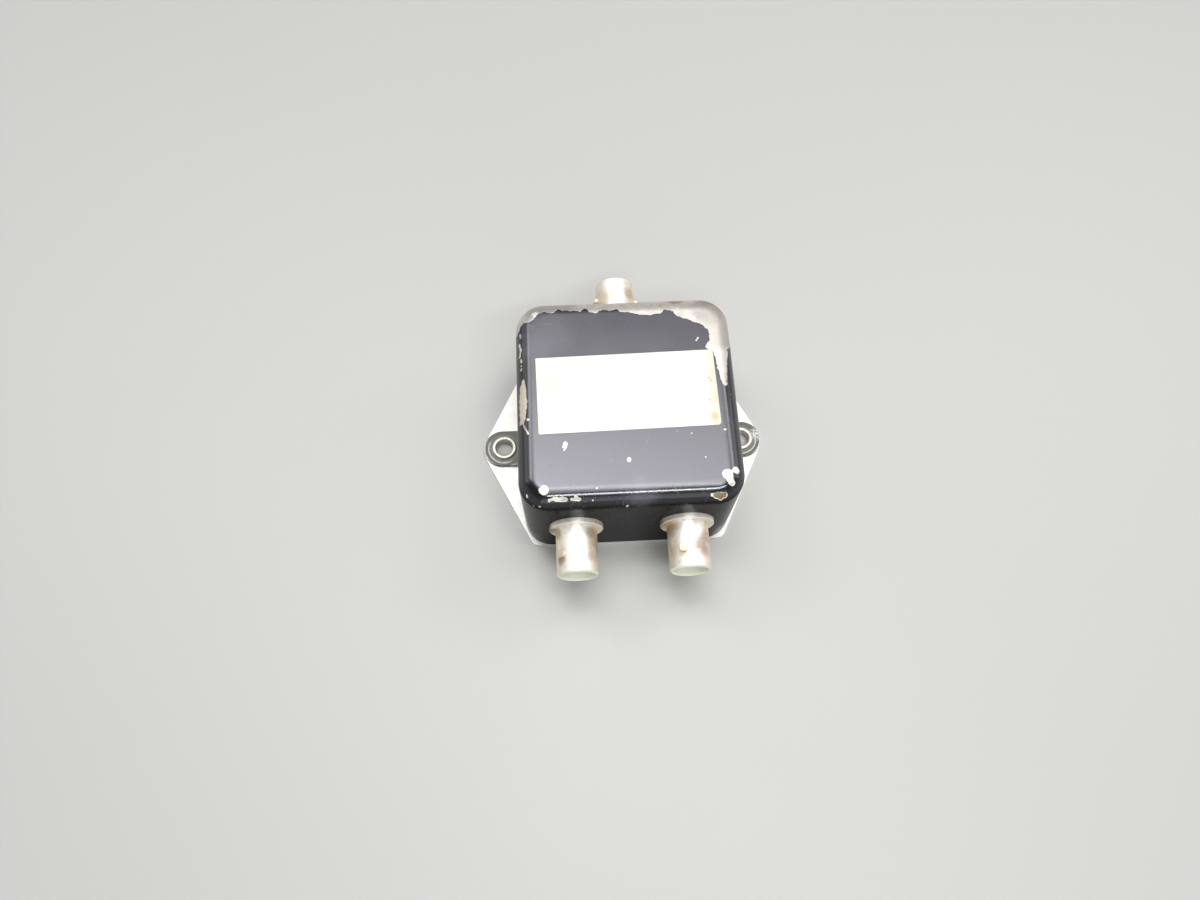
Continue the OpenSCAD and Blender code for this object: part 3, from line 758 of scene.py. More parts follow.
@dataclass
class CanForm:
    """The outer surface of the drawn can, as rings from the wall's foot to the middle of the roof."""

    width: float = 50.8
    length: float = 51.6
    corner: float = 6.85
    edge: float = 4.2
    foot: float = 1.02
    fine_from: float = 23.5
    cell: float = 0.33
    coarse_rows: int = 8
    corner_steps: int = 31
    side_steps: int = 109
    middle: float = 0.45

    def __post_init__(self) -> None:
        """Takes the roof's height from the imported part."""
        self.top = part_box("housing")[1].z / MM

    def outline(self) -> tuple[np.ndarray, np.ndarray]:
        """Goes round the can once, anticlockwise.

        Returns:
            For each column, the point that its corner turns about, and its outward direction.
        """
        reach = np.array([self.width, self.length]) / 2 - self.corner
        signs = [(1, 1), (-1, 1), (-1, -1), (1, -1)]
        cores, outs = [], []
        for quarter, sign in enumerate(signs):
            here, there = reach * sign, reach * signs[(quarter + 1) % 4]
            for i in range(self.corner_steps):
                angle = (quarter + i / self.corner_steps) * math.pi / 2
                cores.append(here)
                outs.append((math.cos(angle), math.sin(angle)))
            angle = (quarter + 1) * math.pi / 2
            for i in range(self.side_steps):
                cores.append(here + (there - here) * i / self.side_steps)
                outs.append((math.cos(angle), math.sin(angle)))
        return np.array(cores), np.array(outs)

    def rings(self) -> tuple[np.ndarray, np.ndarray]:
        """Builds the rings of points.

        Returns:
            Points and outward directions, each of shape (rows, columns, 3), in millimetres.
        """
        cores, outs = self.outline()
        shoulder = self.top - self.edge
        coarse = np.linspace(self.foot, self.fine_from, self.coarse_rows, endpoint=False)
        fine_rows = round((shoulder - self.fine_from) / self.cell)
        fine = np.linspace(self.fine_from, shoulder, fine_rows, endpoint=False)
        bend = np.linspace(0, math.pi / 2, round(self.edge * math.pi / 2 / self.cell))
        roof_w = self.width / 2 - self.edge
        scales = np.linspace(1, self.middle, round(roof_w * (1 - self.middle) / self.cell))[1:]
        rows = [(0.0, z, 0.0, 1.0) for z in (*coarse, *fine)]
        rows += [(self.edge * (1 - math.cos(a)), shoulder + self.edge * math.sin(a), a, 1.0) for a in bend]
        rows += [(self.edge, self.top, math.pi / 2, scale) for scale in scales]
        points, normals = [], []
        for inset, z, lean, scale in rows:
            flat = scale * (cores + outs * (self.corner - inset))
            points.append(np.column_stack([flat, np.full(len(flat), z)]))
            normals.append(np.column_stack([outs * math.cos(lean), np.full(len(flat), math.sin(lean))]))
        return np.array(points), np.array(normals)


def outline_distance(places: np.ndarray, outline: tuple[Place, ...]) -> np.ndarray:
    """Distance to a closed outline in plan, positive inside it.

    Args:
        places: The places to measure, of shape (n, 2).
        outline: The outline's corners.

    Returns:
        The n distances.
    """
    corners = np.array(outline)
    nearest = np.full(len(places), np.inf)
    inside = np.zeros(len(places), bool)
    for a, b in zip(corners, np.roll(corners, -1, axis=0)):
        along = b - a
        share = np.clip((places - a) @ along / (along @ along), 0, 1)
        nearest = np.minimum(nearest, np.linalg.norm(places - a - share[:, None] * along, axis=1))
        crosses = (a[1] > places[:, 1]) != (b[1] > places[:, 1])
        rise = along[1] if along[1] else 1.0
        inside ^= crosses & (places[:, 0] < a[0] + along[0] * (places[:, 1] - a[1]) / rise)
    return np.where(inside, nearest, -nearest)


def ripple(points: np.ndarray, size: float, seed: float) -> np.ndarray:
    """Noise between about -1 and 1 at each point.

    Args:
        points: The points, of shape (n, 3), in millimetres.
        size: The size of the ripples, in millimetres.
        seed: Moves the noise, so that two calls differ.

    Returns:
        The n values.
    """
    return np.array([noise.noise(Vector(p) / size + Vector((seed, 0, -seed))) for p in points])


def ramp(values: np.ndarray, ends: Place, least: float = 0.0, most: float = 1.0) -> np.ndarray:
    """Straight ramps from 0 at the first end to 1 at the second, kept between two limits."""
    return np.clip((values - ends[0]) / (ends[1] - ends[0]), least, most)


@dataclass(frozen=True)
class Peel:
    """A large flaked area, given by its outline in plan and the height where it ends on the walls."""

    outline: tuple[Place, ...]
    lowest: float
    ragged: float = 0.28
    wander: float = 3.0

    def reach(self, points: np.ndarray, rough: np.ndarray, waves: np.ndarray) -> np.ndarray:
        """How far each point lies inside the flaked area.

        Args:
            points: The points, of shape (n, 3).
            rough: Fine noise at each point, which makes the edge ragged.
            waves: Coarse noise at each point, which makes the lower edge wander.

        Returns:
            The n distances, positive inside.
        """
        flat = outline_distance(points[:, :2], self.outline)
        above = points[:, 2] - self.lowest + self.wander * waves
        return np.minimum(flat, above) + self.ragged * rough


@dataclass(frozen=True)
class Chip:
    """A small chip that follows a line of one or two points."""

    start: Point
    radius: float
    end: Point | None = None
    ragged: float = 0.22

    def reach(self, points: np.ndarray, rough: np.ndarray, waves: np.ndarray) -> np.ndarray:
        """How far each point lies inside the chip.

        Args:
            points: The points, of shape (n, 3).
            rough: Fine noise at each point.
            waves: Coarse noise, which a chip doesn't use.

        Returns:
            The n distances, positive inside.
        """
        start = np.array(self.start)
        along = np.array(self.end or self.start) - start
        share = np.clip((points - start) @ along / max(along @ along, 1e-9), 0, 1)
        gap = np.linalg.norm(points - start - share[:, None] * along, axis=1)
        return self.radius - gap + self.ragged * rough


@dataclass
class Sheet:
    """A sheet of faces, cut cell by cell from a grid of points."""

    places: list[np.ndarray] = field(default_factory=list)
    outs: list[np.ndarray] = field(default_factory=list)
    faces: list[tuple[int, ...]] = field(default_factory=list)
    known: dict[tuple, int] = field(default_factory=dict)
    between: list[tuple[int, np.ndarray, np.ndarray]] = field(default_factory=list)
    least_share: float = 0.02

    def keep(self, key: tuple, point: np.ndarray, out: np.ndarray) -> int:
        """Numbers a point, and stores it the first time that its key comes.

        Args:
            key: What the point is known by.
            point: The point.
            out: Its outward direction, of any length.

        Returns:
            The point's number.
        """
        if key not in self.known:
            self.known[key] = len(self.places)
            self.places.append(point)
            self.outs.append(out / np.linalg.norm(out))
        return self.known[key]

    def cut_cell(self, keys: list[tuple[int, int]], grid: dict[str, np.ndarray],
                 shares: tuple[float, ...]) -> None:
        """Adds what a cell keeps where the grid's value isn't positive.

        Args:
            keys: The cell's corners in the grid, anticlockwise seen from outside.
            grid: The grid's points, their outward directions, and their values.
            shares: Where the cut gets points between its two ends.
        """
        points, outs, values = grid["points"], grid["outs"], grid["values"]
        face, leaving, entering = [], [], []
        for a, b in zip(keys, keys[1:] + keys[:1]):
            if values[a] <= 0:
                face.append(self.keep((a, a), points[a], outs[a]))
            if (values[a] <= 0) != (values[b] <= 0):
                low, high = sorted((a, b))
                share = values[low] / (values[low] - values[high])
                share = min(max(share, self.least_share), 1 - self.least_share)
                point = points[low] + share * (points[high] - points[low])
                out = outs[low] + share * (outs[high] - outs[low])
                face.append(self.keep((low, high), point, out))
                (leaving if values[a] <= 0 else entering).append(face[-1])
        if len(face) > 2:
            cell = np.array([points[key] for key in keys])
            self.faces.append(self.divide(face, [(a, b) for a in leaving for b in entering], cell, shares))

    def divide(self, face: list[int], cuts: list[tuple[int, int]], cell: np.ndarray,
               shares: tuple[float, ...]) -> tuple[int, ...]:
        """Adds points between the ends of each cut through a face, and notes them.

        Args:
            face: The face's points.
            cuts: The ends of each pair of points that may be a cut.
            cell: The corners of the cell that the face lies in.
            shares: Where the points lie between the two ends.

        Returns:
            The face with its new points.
        """
        whole = []
        for here, there in zip(face, face[1:] + face[:1]):
            whole.append(here)
            if (here, there) in cuts:
                along = self.places[there] - self.places[here]
                for share in shares:
                    out = self.outs[here] + share * (self.outs[there] - self.outs[here])
                    self.between.append((len(self.places), along, cell))
                    whole.append(self.keep((here, there, share), self.places[here] + share * along, out))
        return tuple(whole)

    def free_edges(self) -> list[tuple[int, int]]:
        """Finds the edges that only one face has.

        Returns:
            The two points of each edge, in its face's direction.
        """
        uses = [edge for face in self.faces for edge in zip(face, face[1:] + face[:1])]
        known = set(uses)
        return [(a, b) for a, b in uses if (b, a) not in known]


@dataclass
class PaintCoat:
    """The coat of paint on the can: a thin skin with every chip cut out of it, and its broken edges."""

    form: CanForm
    thickness: float = 0.1
    bed: float = 0.01
    skin_low: float = 0.001
    skin_high: float = 0.008
    overlap: float = 0.6
    edge_width: Place = (0.05, 0.22)
    edge_ripple: Place = (0.7, 5.5)
    rough_ripple: Place = (0.9, 3.1)
    fine_ripple: Place = (0.45, 7.7)
    fine_share: float = 0.6
    wave_ripple: Place = (5.0, 1.3)
    cut_shares: Place = (0.33, 0.67)
    cut_freedom: float = 0.3
    probe: float = 0.03
    least_fall: float = 0.6
    move_parts: Point = (0.33, 0.67, 1.0)
    least_gain: float = 0.1
    rear_peel: Peel = Peel(outline=(
        (-30.0, 16.0), (-24.9, 17.4), (-24.0, 19.1), (-23.4, 19.8), (-22.2, 19.7), (-21.0, 20.3),
        (-19.8, 22.0), (-18.3, 22.3), (-16.8, 21.7), (-15.2, 23.1), (-14.3, 22.5), (-11.7, 22.4),
        (-10.0, 22.1), (-8.7, 23.1), (-7.8, 22.1), (-6.4, 21.3), (-4.7, 22.3), (-3.0, 22.0),
        (-1.2, 22.4), (-0.3, 21.6), (2.7, 21.1), (4.9, 20.5), (6.6, 20.4), (7.3, 20.7),
        (9.0, 20.7), (10.2, 21.9), (11.9, 21.2), (13.6, 19.6), (15.3, 19.0), (17.0, 18.1),
        (18.7, 17.4), (19.9, 16.1), (20.2, 14.6), (19.8, 12.9), (18.9, 11.5), (19.2, 11.0),
        (20.7, 10.2), (21.1, 8.3), (21.3, 6.3), (21.7, 3.5), (22.0, 1.8), (22.6, 1.2),
        (23.2, 1.7), (23.7, 7.6), (24.3, 11.0), (25.0, 12.6), (30.0, 13.0), (30.0, 30.0),
        (-30.0, 30.0)), lowest=26.2)
    left_peel: Peel = Peel(outline=(
        (-23.7, 5.3), (-24.5, 3.4), (-24.75, 0.0), (-24.75, -5.9), (-23.7, -6.1), (-23.2, -3.7),
        (-22.9, -1.0), (-23.1, 2.8), (-23.3, 4.7)), lowest=20.0, ragged=0.18)
    chips: tuple[Chip, ...] = (
        Chip((-24.5, 14.4, 30.2), 0.42, (-24.1, 12.9, 30.6)),
        Chip((-24.3, 12.2, 30.4), 0.34, (-24.5, 11.3, 30.2)),
        Chip((-24.2, 10.5, 30.5), 0.36, (-24.0, 9.8, 30.6)),
        Chip((-24.1, 8.9, 30.6), 0.38),
        Chip((-24.1, 7.9, 30.6), 0.34),
        Chip((-24.2, 17.0, 30.5), 0.40, (-24.1, 16.3, 30.6)),
        Chip((-22.8, -5.1, 31.4), 0.42, ragged=0.05),
        Chip((-23.9, -6.2, 30.8), 0.26, (-22.8, -8.6, 31.4), ragged=0.1),
        Chip((-24.8, -11.1, 29.8), 0.22),
        Chip((-14.7, -11.4, 31.75), 0.50, (-14.7, -12.2, 31.75)),
        Chip((-14.8, -12.6, 31.75), 0.28, (-14.9, -13.2, 31.75)),
        Chip((-0.6, -15.9, 31.75), 0.55),
        Chip((16.5, -16.1, 31.75), 0.26),
        Chip((13.9, -10.3, 31.75), 0.22),
        Chip((10.8, -9.5, 31.75), 0.20),
        Chip((16.9, 13.2, 31.75), 0.26, (17.3, 13.8, 31.75)),
        Chip((15.2, 18.5, 31.75), 0.20),
        Chip((20.4, -9.8, 31.75), 0.16, (21.5, -9.6, 31.7)),
        Chip((-19.7, -22.2, 31.6), 1.10, ragged=0.12),
        Chip((-18.5, -24.4, 30.7), 0.36, (-17.4, -24.1, 31.0)),
        Chip((-17.4, -24.1, 31.0), 0.55, (-15.1, -24.3, 30.8)),
        Chip((-13.7, -24.3, 30.8), 0.40, (-12.0, -24.3, 30.8)),
        Chip((-12.7, -24.0, 31.0), 0.52),
        Chip((-23.4, -22.9, 29.7), 0.26, (-23.4, -22.6, 29.9), ragged=0.1),
        Chip((-22.1, -24.6, 28.7), 0.20),
        Chip((-20.8, -25.1, 29.1), 0.22),
        Chip((-9.0, -24.6, 30.5), 0.24),
        Chip((-8.1, -22.3, 31.7), 0.26),
        Chip((-1.4, -25.6, 28.7), 0.24),
        Chip((17.3, -24.5, 30.6), 0.34),
        Chip((18.4, -24.7, 30.4), 0.80, (19.9, -24.7, 30.3)),
        Chip((19.2, -25.1, 29.6), 0.60),
        Chip((23.0, -19.3, 31.2), 0.95, ragged=0.1),
        Chip((21.0, -20.3, 31.6), 1.25, ragged=0.1),
        Chip((21.2, -21.0, 31.6), 0.80, (21.8, -22.2, 31.3), ragged=0.12),
    )

    def __post_init__(self) -> None:
        """Lays the rings and measures how far inside a chip each of their points is."""
        self.rings = self.form.rings()
        points = self.rings[0]
        self.inside = self.bare(points.reshape(-1, 3)).reshape(points.shape[:2])

    def bare(self, points: np.ndarray) -> np.ndarray:
        """How far inside a chip each point is.

        Args:
            points: The points, of shape (n, 3), in millimetres.

        Returns:
            The n distances in millimetres, positive on bare metal and negative under paint.
        """
        rough = ripple(points, *self.rough_ripple) + self.fine_share * ripple(points, *self.fine_ripple)
        waves = ripple(points, *self.wave_ripple)
        inside = np.full(len(points), -np.inf)
        for mark in (self.rear_peel, self.left_peel, *self.chips):
            inside = np.maximum(inside, mark.reach(points, rough, waves))
        return inside

    def cut(self, bare: np.ndarray, fine: bool) -> Sheet:
        """Cuts every cell of the rings along the edge of the bare metal, and keeps what is painted.

        Args:
            bare: A value for each of the rings' points, positive where nothing is kept.
            fine: Whether the cut gets points between the cells' sides, moved onto the chips' true edge.

        Returns:
            The sheet of what is painted.
        """
        points, outs = self.rings
        grid = {"points": points, "outs": outs, "values": bare}
        shares = self.cut_shares if fine else ()
        rows, columns = bare.shape
        sheet = Sheet()
        for row in range(rows - 1):
            for column in range(columns):
                after = (column + 1) % columns
                keys = [(row, column), (row, after), (row + 1, after), (row + 1, column)]
                if min(bare[key] for key in keys) <= 0:
                    sheet.cut_cell(keys, grid, shares)
        inner = [(rows - 1, column) for column in range(columns)]
        if bare[-1].max() <= 0:
            sheet.faces.append(tuple(sheet.keep((key, key), points[key], outs[key]) for key in inner))
        if sheet.between:
            self.settle(sheet)
        return sheet

    def settle(self, sheet: Sheet) -> None:
        """Moves the points between the cells' sides onto the chips' true edge, as far as their cells reach.

        Args:
            sheet: The painted sheet.
        """
        numbers = [number for number, _, _ in sheet.between]
        cuts = np.array([cut for _, cut, _ in sheet.between])
        cells = np.array([cell for _, _, cell in sheet.between])
        sides = np.roll(cells, -1, axis=1) - cells
        here = np.array([sheet.places[i] for i in numbers])
        out = np.array([sheet.outs[i] for i in numbers])
        across = np.cross(out, cuts)
        across /= np.maximum(np.linalg.norm(across, axis=1), 1e-9)[:, None]
        now = self.bare(here)
        fall = (now - self.bare(here + self.probe * across)) / self.probe
        most = self.cut_freedom * np.linalg.norm(cuts, axis=1)
        move = np.clip(now / np.maximum(fall, self.least_fall), -most, most)[:, None] * across
        moved = here.copy()
        for part in self.move_parts:
            trial = here + part * move
            room = np.cross(sides, trial[:, None] - cells) @ out[:, :, None]
            within = room[:, :, 0].min(axis=1) > 0
            moved[within] = trial[within]
        for number, place in zip(numbers, moved):
            sheet.places[number] = place

    def skirt(self, sheet: Sheet, free: list[tuple[int, int]]) -> np.ndarray:
        """Finds how far each point of a broken edge slopes out at its foot.

        Args:
            sheet: The painted sheet.
            free: Its free edges.

        Returns:
            A shift for every point.
        """
        shift = np.zeros((len(sheet.places), 3))
        for a, b in free:
            away = np.cross(sheet.places[b] - sheet.places[a], sheet.outs[a])
            shift[a] += away
            shift[b] += away
        rim = np.flatnonzero(np.linalg.norm(shift, axis=1) > 0)
        spots = np.array(sheet.places)[rim]
        low, high = self.edge_width
        width = low + (high - low) * (0.5 + 0.5 * ripple(spots, *self.edge_ripple))
        inwards = shift[rim] / np.linalg.norm(shift[rim], axis=1)[:, None]
        gain = (self.bare(spots + width[:, None] * inwards) - self.bare(spots)) / width
        width *= np.clip(gain, self.least_gain, 1.0) * (spots[:, 2] > self.form.foot)
        shift[rim] = width[:, None] * inwards
        return shift

    def shell(self, name: str, inside: np.ndarray, layers: Place, sloped: bool) -> bpy.types.Mesh:
        """Builds a closed thin skin on part of the can.

        Args:
            name: The mesh's name.
            inside: A value for each of the rings' points, which the skin covers where it isn't positive.
            layers: How far its inner and its outer face stand off the can.
            sloped: Whether its edge slopes out to a ragged foot.

        Returns:
            The mesh, with its edge faces in the second material.
        """
        low, high = layers
        sheet = self.cut(inside, sloped)
        free = sheet.free_edges()
        shift = self.skirt(sheet, free) * sloped
        count = len(sheet.places)
        outer = [p + n * high for p, n in zip(sheet.places, sheet.outs)]
        inner = [p + n * low + s for p, n, s in zip(sheet.places, sheet.outs, shift)]
        under = [tuple(count + i for i in reversed(face)) for face in sheet.faces]
        broken = [(b, a, count + a, count + b) for a, b in free]
        mesh = mesh_from(name, outer + inner, sheet.faces + under + broken)
        for polygon in mesh.polygons[2 * len(under):]:
            polygon.material_index = int(sloped)
            polygon.use_smooth = False
        sharpen(mesh, free + [(count + a, count + b) for a, b in free])
        return mesh

    def outer_face(self) -> tuple[list[Point], list[tuple[int, ...]]]:
        """The coat's outer face by itself.

        Returns:
            Its points, in millimetres, and its faces.
        """
        sheet = self.cut(self.inside, True)
        return [tuple(p + n * self.thickness) for p, n in zip(sheet.places, sheet.outs)], sheet.faces

    def dress(self, metal: bpy.types.Material) -> list[bpy.types.Object]:
        """Builds the coat and the bright skin that its chips lay bare.

        Args:
            metal: The finish of the bare can.

        Returns:
            The two pieces.
        """
        coat = self.shell("paint_coat", self.inside, (self.bed, self.thickness), True)
        coat.materials.append(PaintFinish().material())
        coat.materials.append(PrimerFinish().material())
        skin = self.shell("bare_metal", -self.inside - self.overlap, (self.skin_low, self.skin_high), False)
        skin.materials.append(metal)
        return [add_piece(mesh.name, mesh) for mesh in (coat, skin)]


@dataclass(frozen=True)
class Dust:
    """Flakes of dust on the paint, scattered by a node tree over the coat's outer face."""

    per_mm2: float = 2.4
    smallest: float = 0.03
    largest: float = 0.11
    shape: Point = (1.0, 0.6, 0.3)
    seed: int = 11
    roof_share: float = 0.08
    patch_ripple: Place = (3.5, 9.2)
    front: Place = (-20.0, -23.0)
    front_height: Place = (8.0, 26.0)
    front_corner: Place = (23.5, 19.5)
    right: Place = (21.0, 24.0)
    right_height: Place = (24.0, 32.0)
    finish: PlainFinish = PlainFinish(
        "settled_dust", (0.42, 0.40, 0.37), (0.20, 0.19, 0.17), roughness=(0.7, 0.9), size=0.3)

    def tree(self) -> bpy.types.NodeTree:
        """Builds the node tree that scatters flakes over a mesh.

        Returns:
            The tree, with its sizes, seed and finish as inputs.
        """
        tree = bpy.data.node_groups.new("scatter_flakes", "GeometryNodeTree")
        sockets = {"Ground": "Geometry", "Flakes per Square Metre": "Float", "Smallest": "Float",
                   "Largest": "Float", "Shape": "Vector", "Seed": "Int", "Finish": "Material"}
        for name, kind in sockets.items():
            tree.interface.new_socket(name, in_out="INPUT", socket_type=f"NodeSocket{kind}")
        tree.interface.new_socket("Flakes", in_out="OUTPUT", socket_type="NodeSocketGeometry")
        node = NodeBench(tree).node
        given = node("NodeGroupInput", {}).outputs
        share = node("GeometryNodeInputNamedAttribute", {"Name": "dust"}, data_type="FLOAT").outputs[0]
        density = {0: share, 1: given["Flakes per Square Metre"]}
        amount = node("ShaderNodeMath", density, operation="MULTIPLY").outputs[0]
        points = node("GeometryNodeDistributePointsOnFaces", {
            "Mesh": given["Ground"], "Density": amount, "Seed": given["Seed"]}).outputs
        spin = node("FunctionNodeRandomValue", {
            0: (0, 0, 0), 1: (0, 0, 2 * math.pi), "Seed": given["Seed"]}, data_type="FLOAT_VECTOR").outputs[0]
        turned = node("FunctionNodeRotateRotation", {
            "Rotation": points["Rotation"],
            "Rotate By": node("FunctionNodeEulerToRotation", {"Euler": spin}).outputs["Rotation"],
        }, rotation_space="LOCAL").outputs["Rotation"]
        size = node("FunctionNodeRandomValue", {
            2: given["Smallest"], 3: given["Largest"], "Seed": given["Seed"]}, data_type="FLOAT").outputs[1]
        scale = node("ShaderNodeVectorMath", {0: given["Shape"], "Scale": size}, operation="SCALE").outputs[0]
        flake = node("GeometryNodeMeshIcoSphere", {"Radius": 1.0, "Subdivisions": 1}).outputs["Mesh"]
        flakes = node("GeometryNodeInstanceOnPoints", {
            "Points": points["Points"], "Instance": flake, "Rotation": turned, "Scale": scale})
        made = node("GeometryNodeRealizeInstances", {"Geometry": flakes.outputs["Instances"]})
        worn = node("GeometryNodeSetMaterial", {
            "Geometry": made.outputs["Geometry"], "Material": given["Finish"]})
        node("NodeGroupOutput", {"Flakes": worn.outputs["Geometry"]})
        return tree

    def share(self, points: np.ndarray) -> np.ndarray:
        """How much dust lies at each point: most high on the front, in patches, and little on the roof.

        Args:
            points: The points, of shape (n, 3), in millimetres.

        Returns:
            The n shares, from 0 to 1.
        """
        across, along, height = points.T
        patches = np.clip(0.4 + 1.1 * ripple(points, *self.patch_ripple), 0, 1) ** 2
        front = ramp(along, self.front) * ramp(height, self.front_height, 0.1)
        front *= ramp(np.abs(across), self.front_corner, 0.15)
        right = ramp(across, self.right) * ramp(height, self.right_height, 0.03, 0.5)
        return patches * np.maximum(np.maximum(front, right), self.roof_share)

    def scatter(self, coat: "PaintCoat") -> bpy.types.Object:
        """Scatters the flakes over the coat.

        Args:
            coat: The coat, whose outer face they lie on.

        Returns:
            Their piece.
        """
        places, faces = coat.outer_face()
        ground = mesh_from("ground", places, faces)
        layer = ground.attributes.new("dust", "FLOAT", "POINT")
        layer.data.foreach_set("value", self.share(np.array(places)))
        piece = put("dust", ground)
        modifier = piece.modifiers.new("flakes", "NODES")
        modifier.node_group = self.tree()
        values = {"Flakes per Square Metre": self.per_mm2 / MM ** 2, "Smallest": self.smallest * MM,
                  "Largest": self.largest * MM, "Shape": self.shape, "Seed": self.seed,
                  "Finish": self.finish.material()}
        for item in modifier.node_group.interface.items_tree:
            if item.in_out == "INPUT" and item.name in values:
                modifier[item.identifier] = values[item.name]
        flakes = bpy.data.meshes.new_from_object(piece.evaluated_get(bpy.context.evaluated_depsgraph_get()))
        bpy.data.objects.remove(piece)
        flakes.name = "dust"
        return add_piece("dust", flakes)


@dataclass
class Label:
    """The blank label on the roof, a thin sheet that has lifted a little at its corners."""

    width: float = 41.3
    length: float = 19.1
    thickness: float = 0.07
    centre: Place = (0.0, 0.8)
    turn: float = 0.9
    corners: Place = (0.15, 0.8)
    cell: float = 0.3
    coat: float = 0.1
    lift: float = 0.02
    lifted: float = 3.0
    ripple_height: float = 0.006
    ripple_size: float = 3.5
    ripple_seed: float = 2.0

    def height(self, x: float, y: float) -> float:
        """How far the sheet stands off the paint at a place on it.

        Args:
            x: Distance from its middle, across.
            y: Distance from its middle, along.

        Returns:
            The height in millimetres.
        """
        wave = noise.noise(Vector((x / self.ripple_size, y / self.ripple_size, self.ripple_seed)))
        in_x = max(abs(x) - self.width / 2 + self.lifted, 0)
        in_y = max(abs(y) - self.length / 2 + self.lifted, 0)
        return self.ripple_height * (1 + wave) + self.lift * (in_x * in_y / self.lifted ** 2)

    def build(self) -> bpy.types.Mesh:
        """Builds the sheet.

        Returns:
            Its closed mesh.
        """
        across, along = round(self.width / self.cell), round(self.length / self.cell)
        base = self.surface_z()
        turn = Matrix.Rotation(math.radians(self.turn), 2)
        bottom, top = [], []
        for j in range(along + 1):
            for i in range(across + 1):
                x = self.width * (i / across - 0.5)
                y = self.length * (j / along - 0.5)
                x, y = self.rounded(x, y)
                flat = turn @ Vector((x, y)) + Vector(self.centre)
                rise = base + self.height(x, y)
                bottom.append((flat.x, flat.y, rise))
                top.append((flat.x, flat.y, rise + self.thickness))
        count, row = len(bottom), across + 1
        cells = [(j * row + i, j * row + i + 1, (j + 1) * row + i + 1, (j + 1) * row + i)
                 for j in range(along) for i in range(across)]
        rim = [*range(across), *(j * row + across for j in range(along)),
               *(along * row + i for i in range(across, 0, -1)), *(j * row for j in range(along, 0, -1))]
        faces = [tuple(count + k for k in face) for face in cells] + [face[::-1] for face in cells]
        sides = list(zip(rim, rim[1:] + rim[:1]))
        faces += [(a, b, count + b, count + a) for a, b in sides]
        mesh = mesh_from("label", bottom + top, faces)
        sharpen(mesh, sides + [(count + a, count + b) for a, b in sides])
        return mesh

    def surface_z(self) -> float:
        """The height of the painted roof."""
        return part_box("label_plate")[0].z / MM + self.coat

    def rounded(self, x: float, y: float) -> Place:
        """Moves a place in a corner onto the corner's arc.

        Args:
            x: Distance from the sheet's middle, across.
            y: Distance from the sheet's middle, along.

        Returns:
            The place, moved if it lay outside the arc.
        """
        corner = self.corners[x > 0]
        core = Vector((self.width / 2 - corner, self.length / 2 - corner))
        out = Vector((abs(x) - core.x, abs(y) - core.y))
        if out.x > 0 and out.y > 0 and out.length > corner:
            out = core + out.normalized() * corner
            return math.copysign(out.x, x), math.copysign(out.y, y)
        return x, y

    def dress(self) -> bpy.types.Object:
        """Builds the label as a piece that stands for its plain node.

        Returns:
            The piece.
        """
        mesh = self.build()
        finish = LabelFinish(self.width, self.length, self.centre, self.turn)
        mesh.materials.append(finish.material())
        piece = add_piece("label", mesh)
        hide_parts("label_plate")
        return piece


def dress_node(name: str, material: bpy.types.Material) -> None:
    """Gives a CAD node its finish.

    Args:
        name: The node's name.
        material: The finish.
    """
    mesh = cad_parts[name].data
    mesh.materials.clear()
    mesh.materials.append(material)
    log.info("node %s wears %s", name, material.name)


WHITE = (0.94, 0.94, 0.92)
RUST = (0.26, 0.13, 0.06)
OCHRE = (0.42, 0.25, 0.11)
CREAM = (0.80, 0.77, 0.66)


